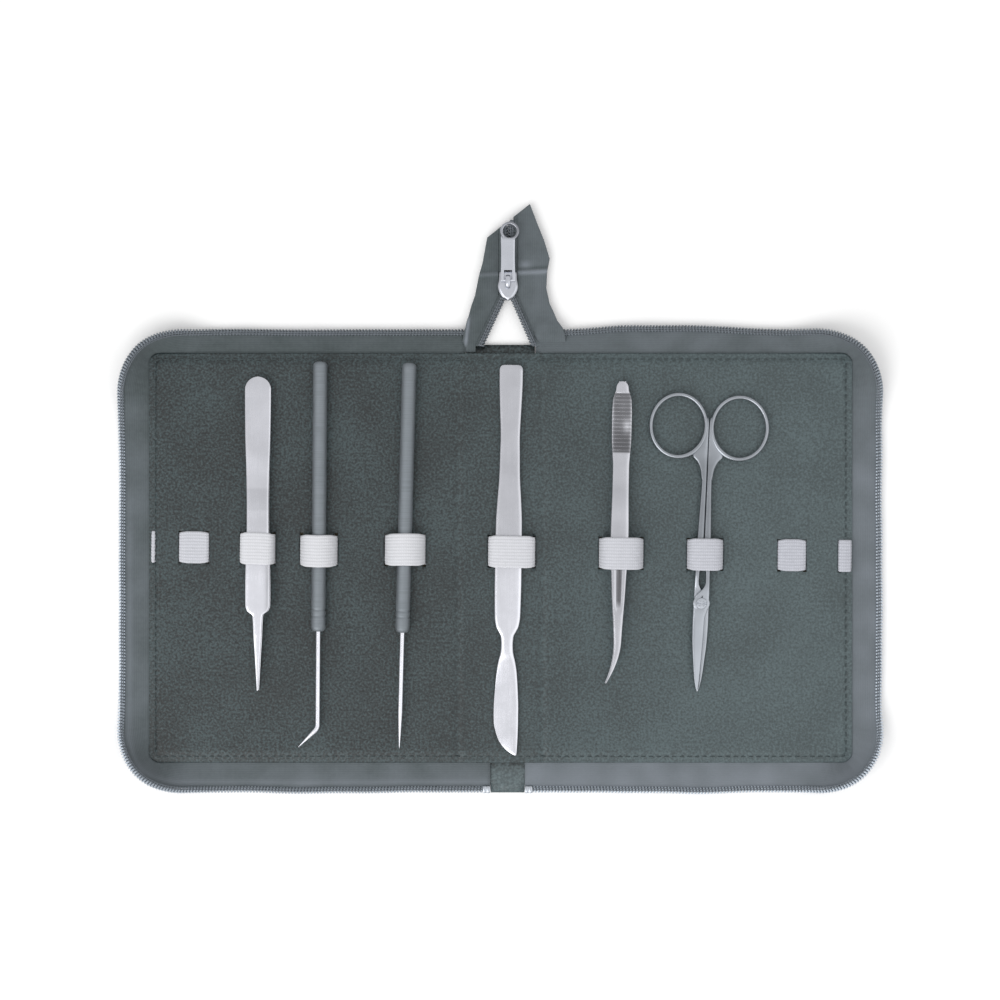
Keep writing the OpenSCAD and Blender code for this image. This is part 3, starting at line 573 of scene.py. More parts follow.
def resampled(line, step):
    """A line of points, with any more columns that it carries, at even steps."""
    line = np.array(line, float)
    run = np.concatenate([[0], np.cumsum(np.linalg.norm(np.diff(line[:, :3], axis=0), axis=1))])
    at = np.linspace(0, run[-1], max(2, int(round(run[-1] / step)) + 1))
    return np.stack([np.interp(at, run, line[:, k]) for k in range(line.shape[1])], axis=1), at


def stitches(line, up):
    """A row of stitches along a line: each rises out of the cloth and goes back into it."""
    size = bpy.context.scene.case_sizes
    pitch, long = size.stitch_pitch / MM, size.stitch_length / MM
    thick = size.thread_width / MM / 2
    row, run = resampled(line, pitch / 6)
    parts = []
    for k in range(int(run[-1] / pitch)):
        at = [k * pitch + long * t for t in (0.12, 0.2, 0.4, 0.6, 0.8, 0.88)]
        rise = [-0.5, 0.1, 0.28, 0.28, 0.1, -0.5]
        points = [[np.interp(s, run, row[:, c]) for c in range(3)] for s in at]
        for p, h in zip(points, rise):
            p[2] += up * h * thick * 2
        parts.append(loft(tube(points, thick, 6, (0.01, 0.02, 1))))
    return joined(*parts)


# ---------- leatherette and lining ----------

def edge_distance(x, y):
    """Distance from a point of a cover to the nearest outer edge, as if both covers and the
    spine were one rounded sheet."""
    qx = abs(x) - (FORE_EDGE - COVER_R)
    qy = abs(y - PANEL_MID) - (PANEL_HALF - COVER_R)
    return COVER_R - math.hypot(max(qx, 0), max(qy, 0)) - min(max(qx, qy), 0)


def rounded(x, y):
    """Draws a point of a square sheet in, so that the cover's corners come out rounded."""
    over = abs(x) - (FORE_EDGE - COVER_R)
    if over <= 0:
        return y
    drop = COVER_R - math.sqrt(max(COVER_R ** 2 - over ** 2, 0))
    return PANEL_MID + (y - PANEL_MID) * (1 - drop / PANEL_HALF)


def wander(x, y, size, seed):
    """Smooth noise from -1 to 1 with bumps of that size in millimetres."""
    return noise.noise((x / size, y / size, seed))


def bend_with_cover(made, side):
    """Bakes the soft piece's placement into its mesh."""
    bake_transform(made)
    return made


def side_name(side):
    return "left" if side < 0 else "right"


# Rows of a sheet where it turns down along the top and the bottom of the panel.
EDGE_ROWS = [row for d in (0, 0.6, 1.4, 2.4, 3.4, 4.6, 7) for row in (PANEL_BOTTOM + d, PANEL_TOP - d)]


def edge_columns(side, breaks):
    """Columns of a sheet from the spine's middle to the fore edge, closer where it bends."""
    arc = [FORE_EDGE - COVER_R + COVER_R * math.sin(math.radians(a)) for a in range(0, 91, 15)]
    crease = [SPINE_EDGE - 1.5 + 0.75 * k for k in range(13)]
    return sorted(side * x for x in marks([0, SPINE_EDGE] + crease + arc + breaks, 3.2))


# How each loop sits in its slits: shift of its left foot, its right foot, and up the case.
LOOP_SET = {
    "left_spare_loop": (0.5, 0.5, 0), "fine_forceps_loop": (1.0, 0.5, 0),
    "bent_needle_loop": (0.45, 0.1, -0.8), "straight_needle_loop": (0.9, 0, 0.4),
    "scalpel_loop": (0.3, 0.4, 0), "curved_forceps_loop": (0, 0, 0),
    "scissors_loop": (0.5, 0, 0), "right_spare_loop": (0.6, 0, 0.2),
}


def loop_measures(node):
    """A loop's middle along the band, its half-width, and its height over the lining."""
    low, high = corners(node)
    half = ((high.x - low.x) - BAND_W * math.sin(BAND_TILT)) / 2 / math.cos(BAND_TILT)
    left, right, _ = LOOP_SET[node]
    along = (low.x + high.x) / 2 / math.cos(BAND_TILT) + (left + right) / 2
    return along, half + (right - left) / 2, high.z - LINING_TOP


SWAY = sorted((loop_measures(node)[0], LOOP_SET[node][2]) for node in LOOP_SET)


def band_sway(along):
    """How far the band lies above its straight line, which it leaves a little at some loops."""
    return np.interp(along, *zip(*SWAY))


LOOPS = {
    -1: ["left_spare_loop", "fine_forceps_loop", "bent_needle_loop", "straight_needle_loop"],
    0: ["scalpel_loop"],
    1: ["curved_forceps_loop", "scissors_loop", "right_spare_loop"],
}
# The band's own ends come up through a last slit and go into the seam at the fore edge.
BAND_END = {-1: -FORE_EDGE + 2.0, 1: FORE_EDGE - 5.0}
SLIT = 1.4


def slits(side):
    """Places along the band where it passes through the lining of one side."""
    found = []
    for node in LOOPS[side]:
        along, half, _ = loop_measures(node)
        found += [along - half + BAND_T / 2, along + half - BAND_T / 2]
    if side:
        found.append(BAND_END[side])
    return found


def lining(side):
    """The lining of one cover and half of the spine, with the slits for the elastic."""
    cuts = [s for s in slits(side) + slits(0) if side * s > 0.5]
    breaks = [abs(s) + d for s in cuts for d in (-2.2, -1.2, -SLIT / 2, SLIT / 2, 1.2, 2.2)]
    columns = edge_columns(side, [b for b in breaks if b < FORE_EDGE - 0.4])
    half_slit = BAND_W / 2 + 0.1
    rows = marks(EDGE_ROWS
                 + [BAND_Y + d * half_slit for d in (-1.25, -1, -0.6, 0, 0.6, 1, 1.25)], 3.2)

    def skew(y):
        return 1 - ease(9, 45, abs(y - BAND_Y))

    def place(x, y):
        d = edge_distance(x, rounded(x, y))
        inner = ease(0, 8, d)
        near = max([bump(x - s, 1.3) for s in cuts] or [0]) * (1 - ease(6, 8.5, abs(y - BAND_Y)))
        drop = mix(0.5, 0.95, ease(SPINE_EDGE, COVER_EDGE, abs(x)))
        z = (LINING_TOP - drop * (1 - ease(0, 4, d)) - 0.25 * bump(d - 2.4, 0.8)
             - 0.4 * bump(abs(x) - HINGE_X, 1.2) + 0.16 * near
             + inner * (0.14 * wander(x, y, 34, 2) + 0.06 * wander(x, y, 9, 5)))
        return x, rounded(x, y) - x * BAND_SLOPE * skew(y), z

    def cut(x, y):
        return abs(y - BAND_Y) < half_slit and any(abs(x - s) < SLIT / 2 for s in cuts)

    points, faces = net(columns, rows, place, cut)
    # The lining is paler towards the right, and worn paler along its edges and at the crease.
    wear_and_painted_light = [0.7 * ease(-60, 125, p[0]) + 0.03 * wander(p[0], p[1], 30, 7)
            + 0.1 * (1 - ease(0, 5, edge_distance(p[0], p[1])))
            + 0.05 * bump(abs(p[0]) - HINGE_X, 1.0) for p in points]
    wear_and_painted_light = [max(w, 0) for w in wear_and_painted_light]
    name = side_name(side)
    made = piece(name + "_lining_sheet", points, faces, "lining_leatherette",
                 "lining_leatherette", wear_and_painted_light=wear_and_painted_light, closed=False)
    thicken(made, LINING_T, -1)
    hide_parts(name + "_lining", "spine_lining", name + "_hinge_fold")
    bend_with_cover(made, side)


def outside(side):
    """The outer leatherette of one cover and half of the spine, with the spine's tabs."""
    tongue = abs(LEFT_END_X) - 0.2 if side < 0 else RIGHT_END_X - 0.2
    columns = edge_columns(side, [SPINE_EDGE, SPINE_EDGE + 0.2, tongue])
    rows = marks([-HALF_H + 0.15, TAB_BOTTOM, TAB_TOP] + EDGE_ROWS, 3.6)

    def place(x, y):
        d = edge_distance(x, rounded(x, y)) if PANEL_BOTTOM <= y <= PANEL_TOP else 0
        free = ease(SPINE_EDGE, SPINE_EDGE + 4, abs(x))
        z = (free * (0.5 * (1 - ease(0, 4, d)) + 0.25 * bump(d - 2.4, 0.8))
             + 0.3 * bump(abs(x) - HINGE_X, 1.4)
             + 0.05 * (1 + wander(x, y, 26, 8)) * ease(0, 8, d))
        return x, rounded(x, y), z

    def cut(x, y):
        if y < TAB_BOTTOM:       # between the two stops the tab reaches the zip's line
            return abs(x) > tongue
        return abs(x) > SPINE_EDGE + 0.1 and not PANEL_BOTTOM < y < PANEL_TOP

    points, faces = net(columns, rows, place, cut, upward=False)
    # Paler along the cover's edges and at the crease, where it is worn; the bottom tab is much paler, which
    # is painted light from below.
    wear_and_painted_light = [0.5 * (1 - ease(0, 1.8, edge_distance(p[0], p[1]))) * ease(13, 17, abs(p[0]))
            + 0.25 * bump(abs(p[0]) - HINGE_X, 1.4)
            + 0.8 * (1 - ease(PANEL_BOTTOM - 4, PANEL_BOTTOM, p[1])) for p in points]
    name = side_name(side)
    made = piece(name + "_outer_sheet", points, faces, "cover_leatherette",
                 "cover_leatherette", wear_and_painted_light=wear_and_painted_light, closed=False)
    thicken(made, SKIN_T, -1)
    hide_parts(name + "_skin", "spine_skin", name + "_hinge_fold")
    bend_with_cover(made, side)


def seam_line(side, z):
    """Line of the seam round one side, from the spine's middle round the fore edge."""
    inset = bpy.context.scene.case_sizes.seam_inset / MM
    r = COVER_R - inset if COVER_R > inset + 0.5 else 0.5
    far, top, bottom = FORE_EDGE - inset, PANEL_TOP - inset, PANEL_BOTTOM + inset
    line = [(0.4, top)]
    turns = [heading(a) for a in range(0, 91, 15)]
    line += [(far - r + r * s, top - r + r * c) for c, s in turns]
    line += [(far - r + r * c, bottom + r - r * s) for c, s in turns]
    line += [(0.4, bottom)]
    return [(side * x, y, z) for x, y in line]


def seams(side):
    """The stitches that show on the lining and on the outside."""
    name = side_name(side)
    upper = stitches(seam_line(side, LINING_TOP - 0.52), 1)
    lower = stitches(seam_line(side, 0.32), -1)
    made = piece(name + "_seam", *joined(upper, lower), "sewing_thread", "lining_leatherette")
    bend_with_cover(made, side)


# ---------- elastic ----------

def band_point(along, across, z):
    c, s = math.cos(BAND_TILT), math.sin(BAND_TILT)
    return along * c + across * s, BAND_Y - along * s + across * c, z


def band_ribbon(line):
    """Rings of the woven band along a line of (along, height, width share), with a rib over
    each rubber core."""
    ribs = round(BAND_W / (bpy.context.scene.case_sizes.band_rib / MM))
    line = np.array(line, float)
    ahead = ahead_of(line[:, :2])
    steps = [k / 60 for k in range(61)]
    rings, weave, run = [], [], 0
    for k, (u, z, share) in enumerate(line):
        run += 0 if k == 0 else math.dist(line[k][:2], line[k - 1][:2])
        out = (-ahead[k][1], ahead[k][0])
        sway = band_sway(u)
        ring = []
        for face in (1, -1):
            for t in steps if face > 0 else steps[::-1]:
                across = (t - 0.5) * BAND_W
                edge = (1 - (2 * abs(t - 0.5)) ** 10) ** 0.5 if 0 < t < 1 else 0
                cord = 1 - 0.22 * abs(math.cos(math.pi * ribs * t)) ** 3
                h = face * (BAND_T / 2 - 0.03) * max(edge, 0.12) * cord
                ring.append(band_point(u + out[0] * h, across * share + sway, z + out[1] * h))
                weave.append((across, run))
        rings.append(ring)
    return loft(rings), weave


def arch_line(node):
    """The band's middle line through one loop: up out of a slit, over and down again."""
    along, half, top = loop_measures(node)
    a, foot = half - BAND_T / 2, HIDDEN_Z
    climb = [(-a - 0.9, foot), (-a - 0.25, foot + 0.3), (-a, foot + 0.9)]
    if "spare" in node:
        shape = climb + [(-a, BAND_FLAT - 0.5), (-a + 0.3, BAND_FLAT - 0.12),
                         (-a + 0.9, BAND_FLAT), (-a * 0.5, BAND_FLAT + 0.06), (0, BAND_FLAT + 0.1)]
        shape += [(-u, z) for u, z in shape[-2::-1]]
    else:
        square = {"fine_forceps_loop": 5, "scalpel_loop": 4, "curved_forceps_loop": 3,
                  "scissors_loop": 3}.get(node, 2)
        h = top - BAND_T / 2
        turns = [math.radians(t) for t in range(0, 181, 6)]
        shape = climb + [(-a * math.copysign(abs(math.cos(t)) ** (2 / square), math.cos(t)),
                          LINING_TOP + h * math.sin(t) ** (2 / square) if 0 < t < math.pi
                          else LINING_TOP) for t in turns]
        shape += [(a, foot + 0.9), (a + 0.25, foot + 0.3), (a + 0.9, foot)]
    return [(along + u, z, 1 - 0.07 * bump(abs(u) - a, 1.3)) for u, z in shape]


def band_painted_light(x, y, z):
    """Painted light: the elastic is painted whitest over the instruments on the left, and duller towards
    both ends, as the light falls on it.
    """
    return 0.38 * (1 - ease(-40, 120, x)) * mix(0.4, 1, ease(-120, -98, x))


def filled_line(line):
    """The line with more points on its long runs, so that the ribs stay even."""
    found = [line[0]]
    for a, b in zip(line, line[1:]):
        count = max(1, math.ceil(math.dist(a[:2], b[:2]) / 4))
        found += [tuple(mix(p, q, (k + 1) / count) for p, q in zip(a, b)) for k in range(count)]
    return found


def elastic(side):
    """One band for each cover and one for the spine: hidden runs, and loops between them."""
    name = {-1: "left", 0: "spine", 1: "right"}[side]
    low, high = corners(name + "_elastic")
    line = [(low.x + 0.1, HIDDEN_Z, 1)]
    for node in LOOPS[side]:
        line += arch_line(node)
    line.append((high.x - 0.1, HIDDEN_Z, 1))
    if side:
        slit = BAND_END[side]
        end = [(slit - side * 0.9, HIDDEN_Z), (slit - side * 0.25, HIDDEN_Z + 0.3),
               (slit, HIDDEN_Z + 0.9)]
        if side < 0:             # only a low ridge of it shows before it goes into the seam
            end += [(slit, BAND_FLAT - 1.0), (slit - 0.15, BAND_FLAT - 0.75), (slit - 0.4, BAND_FLAT - 0.75),
                    (slit - 0.55, BAND_FLAT - 1.0), (slit - 0.55, HIDDEN_Z + 0.6)]
        else:
            end += [(slit, BAND_FLAT - 0.5), (slit + 0.3, BAND_FLAT - 0.12), (slit + 0.8, BAND_FLAT - 0.02),
                    (FORE_EDGE - 1.1, BAND_FLAT - 0.3), (FORE_EDGE - 0.6, BAND_FLAT - 0.75)]
        end = [(u, z, 1) for u, z in end]
        line = end[::-1] + line[1:] if side < 0 else line[:-1] + end
    (points, faces), weave = band_ribbon(filled_line(line))
    made = piece(name + "_band", points, faces, "white_elastic", "white_elastic", weave=weave,
                 wear_and_painted_light=band_painted_light)
    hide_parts(name + "_elastic", *LOOPS[side])
    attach(made, {-1: "left_cover", 0: "spine", 1: "right_cover"}[side])


# ---------- zip round the covers ----------

CORNER_X = HALF_W - CORNER_R
CORNER_Y = HALF_H - CORNER_R
CORNER_REACH = CORNER_R * math.pi / 4 + RISE_RUN


def corner_rise(away):
    """Height of the teeth above the flat, at a distance from the corner's middle."""
    if away > CORNER_REACH:
        return 0
    return CORNER_RISE * math.cos(math.pi / 2 * away / CORNER_REACH) ** 2


def cover_corner(share, edge_y):
    """Point of the cover's edge a share of the way round its corner."""
    run_x = FORE_EDGE - COVER_R - CORNER_X
    bend = COVER_R * math.pi / 2
    run_y = edge_y - COVER_R - CORNER_Y
    s = share * (run_x + bend + run_y)
    if s < run_x:
        return CORNER_X + s, edge_y
    if s < run_x + bend:
        a = math.pi / 2 * (1 - (s - run_x) / bend)
        return FORE_EDGE - COVER_R + COVER_R * math.cos(a), edge_y - COVER_R + COVER_R * math.sin(a)
    return FORE_EDGE, edge_y - COVER_R - (s - run_x - bend)


def half_round(edge_y, from_x):
    """Stops from a crease out to the middle of the fore edge: outer x, y, sewn x, y, rise."""
    stops = [(x, HALF_H, x, edge_y, 0) for x in marks([from_x, CORNER_X - RISE_RUN], 5)[:-1]]
    stops += [(x, HALF_H, x, edge_y, corner_rise(CORNER_R * math.pi / 4 + CORNER_X - x))
              for x in marks([CORNER_X - RISE_RUN, CORNER_X], 2)[:-1]]
    for a in range(0, 90, 3):
        turn = math.radians(a)
        stops.append((CORNER_X + CORNER_R * math.sin(turn), CORNER_Y + CORNER_R * math.cos(turn),
                      *cover_corner(a / 90, edge_y),
                      corner_rise(CORNER_R * abs(turn - math.pi / 4))))
    stops += [(HALF_W, y, FORE_EDGE, y, corner_rise(CORNER_R * math.pi / 4 + CORNER_Y - y))
              for y in marks([CORNER_Y, CORNER_Y - RISE_RUN], 2)[::-1][:-1]]
    stops += [(HALF_W, y, FORE_EDGE, y, 0) for y in marks([CORNER_Y - RISE_RUN, 0], 5)[::-1]]
    return stops


def zip_path(side):
    """Stops round one cover, from beside the tail to the free end on the bottom tab: outer
    point, sewn point and how much the tape stands up, as an array. The soft edge wanders."""
    end_x = abs(LEFT_END_X) if side < 0 else RIGHT_END_X
    lower = [(s[0], -s[1], s[2], -s[3], s[4]) for s in half_round(-PANEL_BOTTOM, end_x)]
    stops = half_round(PANEL_TOP, SPINE_EDGE + 0.4) + lower[::-1][1:]
    found = []
    for ox, oy, ix, iy, up in stops:
        out = Vector((ox - ix, oy - iy, 0)).normalized()
        reach = 0.45 * wander(side * ox, oy, 22, 3) * ease(COVER_EDGE, COVER_EDGE + 12, ox)
        if side > 0 and oy > 0:
            reach += 1.5 * ease(24, 50, ox) * (1 - ease(70, 118, ox))
        if oy < 0:
            reach += 0.35 * ease(24, 60, ox) * (1 - ease(80, 118, ox))
        lift = 0.7 * max(0, wander(side * ox, oy, 17, 11)) * ease(COVER_EDGE, COVER_EDGE + 8, ox)
        found.append((side * (ox + out.x * reach), oy + out.y * reach,
                      CHAIN_T / 2 + 0.05 + up + lift, side * ix, iy, SEAM_Z, up / CORNER_RISE))
    return found


def zip_rows(side, step):
    """The path at even steps: points, inward and upward directions, the rest, and distances."""
    path, run = resampled(zip_path(side), step)
    outer, sewn = path[:, :3], path[:, 3:6]
    inward = unit(sewn - outer)
    up = np.cross(inward, ahead_of(outer))
    up *= np.sign(up[:, 2])[:, None]
    return outer, sewn, inward, unit(up), path[:, 6], run


def coil(outer, inward, up, run, shift=0.0):
    """Rings of the nylon wire that is wound round a core cord, one turn after another."""
    size = bpy.context.scene.case_sizes
    pitch, wire = size.coil_pitch / MM, size.coil_wire / MM
    turn = (2 * np.pi * (run / pitch + shift))[:, None]
    centre = (outer + inward * (CHAIN_W / 2 - (CHAIN_W - wire) / 2 * np.cos(turn))
              + up * ((CHAIN_T - wire) / 2 * COIL_SQUASH * np.sin(turn)))
    ahead = ahead_of(centre)
    side = np.cross(ahead, ahead_of(outer))
    side /= np.maximum(np.linalg.norm(side, axis=1), 1e-6)[:, None]
    over = np.cross(side, ahead)
    rings = []
    for p, s, o in zip(centre, side, over):
        rings.append([p + wire / 2 * (math.cos(a) * s + math.sin(a) * o)
                      for a in (0.5, 1.75, 3.0, 4.3, 5.5)])
    return loft(rings)


def coil_threads(outer, inward, up, run, shift=0.0):
    """The two rows of chain stitch that hold the coil down, dipping between its turns."""
    pitch = bpy.context.scene.case_sizes.coil_pitch / MM
    wave = np.abs(np.sin(np.pi * (run / pitch + shift)))[:, None]
    parts = []
    for share in (0.48, 0.74):
        line = outer + inward * CHAIN_W * share + up * (CHAIN_T / 2 * 0.82 + 0.16 * wave)
        parts.append(loft(tube(line, 0.2, 5)))
    core = outer + inward * CHAIN_W * 0.5
    parts.append(loft(tube(core, 0.62, 8)))
    return joined(*parts)


def rim_zip(side):
    """The tape, the coil and its sewing round one cover."""
    name = side_name(side)
    outer, sewn, inward, _, corner, run = zip_rows(side, TAPE_STEP)
    shares = [-1, -0.5, 0, 0.1, 0.25, 0.42, 0.6, 0.78, 0.92, 1]
    depth = 3.4
    # Painted light: the tape is painted palest along the bottom and the fore edge, most on the right.
    pale = {-1: (0.03, 0.22, 0.23), 1: (0.24, 0.54, 0.6)}[side]
    points, weave, wear_and_painted_light = [], [], []
    for k in range(len(run)):
        round_it = run[k] / run[-1]
        level = np.interp(round_it, [0, 0.33, 0.42, 0.6, 0.68, 1],
                          [pale[0], pale[0], pale[1], pale[1], pale[2], pale[2]])
        goal = outer[k] + inward[k] * TAPE_REACH
        flat_in = inward[k] * np.array([1, 1, 0])
        flat_in /= np.linalg.norm(flat_in)
        wide = np.linalg.norm(goal - sewn[k])
        for f in shares:
            if f < 0:
                p = sewn[k] - flat_in * f * depth
            else:
                p = mix(sewn[k], goal, f)
                p[2] = mix(sewn[k][2], goal[2], f ** (1 + 0.5 * corner[k]))
                pucker = 0.28 * corner[k] + 0.05
                p[2] += pucker * math.sin(run[k] * 2 * math.pi / 4.6) * 4 * f * (1 - f)
                p[2] -= 0.16 * bump(f - 0.1, 0.05) * (1 - corner[k])
            points.append(tuple(p))
            weave.append((f * wide if f > 0 else f * depth, run[k]))
            # Painted light: the outer half of the tape is painted paler than the half by its seam; the rest
            # of the patches vary at random.
            patch = wander(p[0], p[1], 9, 21) * (0.1 + 0.25 * level) + 0.12 * (f - 0.4)
            # A painted highlight: a pale line along the left tape, from the fore edge round the bottom.
            crease = 0.25 * bump(f - 0.75, 0.08) * ease(0.4, 0.5, round_it) if side < 0 else 0
            wear_and_painted_light.append(max(level + patch * ease(0, 0.1, round_it) + crease, 0))
    n = len(shares)
    faces = [(i * n + k, (i + 1) * n + k, (i + 1) * n + k + 1, i * n + k + 1)
             for i in range(len(run) - 1) for k in range(n - 1)]
    made = piece(name + "_tape", points, faces, "zip_tape", "zip_tape", weave=weave, wear_and_painted_light=wear_and_painted_light,
                 closed=False)
    thicken(made, TAPE_T, 0)
    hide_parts(name + "_zip_tape", name + "_zip_end_tape")
    bend_with_cover(made, side)

    step = bpy.context.scene.case_sizes.coil_pitch / MM / TURN_STEPS
    outer, _, inward, up, _, run = zip_rows(side, step)
    short = run < run[-1] - STOP_L + 0.4
    # Painted light: the coil is painted palest along the fore edge, less pale along the bottom and dark
    # along the top.
    level = np.interp(run[short] / run[-1], [0, 0.3, 0.4, 0.62, 0.7, 1],
                      [0, 0.1, 1, 1, 0.48, 0.48] if side < 0 else [0.05, 0.1, 0.9, 1, 0.75, 0.75])
    row = piece(name + "_coil", *coil(outer[short], inward[short], up[short], run[short]),
                "zip_coil", "zip_coil", wear_and_painted_light=np.repeat(level, 5))
    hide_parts(name + "_zip_teeth", name + "_zip_end_teeth")
    bend_with_cover(row, side)
    held = piece(name + "_coil_sewing",
                 *coil_threads(outer[short], inward[short], up[short], run[short]),
                 "coil_thread", "zip_tape")
    bend_with_cover(held, side)


def end_stops():
    """A strip of plated metal crimped round the last teeth of each row: it wraps the coil as
    a channel with rounded corners and a pinch across the middle."""
    parts = []
    for side in (-1, 1):
        x0 = side * (abs(LEFT_END_X) if side < 0 else RIGHT_END_X)
        rings = []
        for t in [0, 0.04, 0.12, 0.3, 0.42, 0.5, 0.58, 0.7, 0.88, 0.96, 1]:
            shrink = 1 - 0.1 * bump(t - 0.5, 0.1) - 0.14 * (bump(t, 0.05) + bump(t - 1, 0.05))
            ring = []
            for a in range(0, 360, 15):
                c, s = heading(a)
                y = math.copysign(abs(c) ** 0.45, c) * (CHAIN_W / 2 + 0.05) * shrink
                z = math.copysign(abs(s) ** 0.45, s) * (CHAIN_T / 2 + 0.12) * shrink
                ring.append((x0 + side * t * (STOP_L - 0.05), -HALF_H + CHAIN_W / 2 + y,
                             CHAIN_T / 2 + 0.17 + z))
            rings.append(ring)
        parts.append(loft(rings))
    made = piece("crimped_stops", *joined(*parts), "tumbled_steel", "bright_plating", sharp=50)
    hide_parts("zip_end_stops")
    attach(made, "spine")


# ---------- tail of the zip ----------

LEFT_OUTLINE = [(-15.6, 81.4), (-15.2, 84.5), (-14.6, 87.5), (-13.9, 90.4), (-12.9, 93.8),
                (-11.4, 99.6), (-9.9, 103.8), (-8.8, 109.6), (-8.0, 112.9), (-7.1, 116),
                (-6.0, 122), (-5.2, 126.3)]
RIGHT_OUTLINE = [(25.4, 81.4), (25.5, 85), (25.2, 88.4), (24.4, 90.8), (22.2, 93.6),
                 (20.8, 97.1), (19.2, 100.4), (17.9, 106.4), (18.2, 112.9), (19.2, 118),
                 (17.0, 125.2), (14.5, 131.4), (11.5, 139.4)]
CUT_SLOPE = 0.784             # the tail's top is cut on the slant
TAIL_INSET = 3.6              # from the line of a row's teeth to the inner edge of its cloth


def cut_y(x):
    """Height of the slanted cut across the top of the tail."""
    return LEFT_OUTLINE[-1][1] + CUT_SLOPE * (x - LEFT_OUTLINE[-1][0])


def vee_x(side, y):
    """Inner edge of a row of tail teeth at height y."""
    t = min(max((y - VEE_Y) / (MEET_Y - VEE_Y), 0), 1)
    return mix(VEE_LEFT if side < 0 else VEE_RIGHT, TAIL_LEAN, t)


def fold_line(x, y):
    """Bell over the fold that runs down the left edge of the tail onto the cover."""
    return bump(x + 12.9 - 0.12 * (y - 90), 0.6) * ease(83, 86, y) * (1 - ease(93, 97, y))


def crease_line(x, y):
    """Bell over the crease across the tail, just above the slider."""
    return bump(y - 112.3 - 0.05 * (x - TAIL_LEAN), 0.7)


def tail_height(side, x, y):
    """Height of the tail's cloth. Its foot climbs over the teeth of the rim and goes down
    between the tape and the cover; further up it lies flat but for its folds."""
    outer = ease(12.9, 14.6, abs(x))
    over = 1.05 * ease(86, 87.6, y) * (1 - ease(91.5, 96, y)) - 0.9 * (1 - ease(84.6, 86.4, y))
    inner = -0.3 * (1 - ease(82, 84.5, y))
    fold = 0.9 * fold_line(x, y) if side < 0 else 0
    return (2.02 + mix(inner, over, outer) + 0.7 * crease_line(x, y) + fold
            + 0.22 * wander(x, y, 11, 4) * ease(92, 98, y))


def tail_wear_and_painted_highlights(x, y, z):
    """How pale the tail's tape is: painted highlights along the fold on the left and the crease above the
    slider, a pale patch beside the puller, paler towards the right, and darker just above the crease.
    """
    patch = math.exp(-((x - 9.6) ** 2 / 5 + (y - 115.6) ** 2 / 2))
    # Painted highlights: pale lines along the crease above the slider and along the fold on the left.
    line = crease_line(x, y) * mix(0.35, 0.75, ease(3, 9, x))
    left = fold_line(x, y) if x < 0 else 0
    ground = 0.1 + 0.16 * ease(-5, 15, x) + 0.12 * wander(x, y, 6, 15)
    above = bump(y - 113.9 - 0.05 * (x - TAIL_LEAN), 0.6) * ease(4, 6, x)
    return max(0, min(1, ground * (1 - above) + 0.6 * patch + line + 0.8 * left))


def tail_tape(side):
    """The broad cloth on one side of the tail."""
    name = side_name(side)
    outline = LEFT_OUTLINE if side < 0 else RIGHT_OUTLINE
    edge_y = np.array([p[1] for p in outline])
    edge_x = np.array([p[0] for p in outline])
    inner_top = cut_y(TAIL_LEAN + side * TAIL_INSET)
    shares = [k / 22 for k in range(23)]
    points, weave = [], []
    steps = 90
    for k in range(steps + 1):
        t = k / steps
        outer_y = mix(edge_y[0], edge_y[-1], t)
        inner_y = mix(edge_y[0], inner_top, t)
        outer = (np.interp(outer_y, edge_y, edge_x), outer_y)
        inner = (vee_x(side, inner_y) + side * TAIL_INSET, inner_y)
        for f in shares:
            x, y = mix(outer[0], inner[0], f), mix(outer[1], inner[1], f)
            points.append((x, y, tail_height(side, x, y)))
            weave.append((x, y))
    faces = row_faces(steps + 1, len(shares), -side)
    made = piece(name + "_tail", points, faces, "zip_tape", "zip_tape", weave=weave,
                 wear_and_painted_light=tail_wear_and_painted_highlights, closed=False)
    thicken(made, TAPE_T, 0)
    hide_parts(name + "_tail_tape")
    bend_with_cover(made, side)


def row_path(side, y_from, y_to, step):
    """Outer points, inward and upward directions, and distances along one row of the tail."""
    ys = np.arange(y_from, y_to, step / 3)
    line = np.array([(vee_x(side, y), y, TAIL_Z) for y in ys])
    path, run = resampled(line, step)
    count = len(run)
    inward = np.tile([side * 1.0, 0, 0], (count, 1))
    return path, inward, np.tile([0, 0, 1.0], (count, 1)), run


def row_cloth(side, y_from, y_to):
    """The strip of tape that carries a row of tail teeth; at the top it ends at the cut."""
    points, steps = [], 24
    for i in range(steps + 1):
        for k in range(7):
            share = TAPE_REACH + 4.5 * k / 6
            end = y_to or cut_y(TAIL_LEAN + side * share)
            y = mix(y_from, end, i / steps)
            points.append((vee_x(side, y) + side * share, y, TAIL_Z + 0.1 - 1.2 * k / 6))
    return points, row_faces(steps + 1, 7, side)


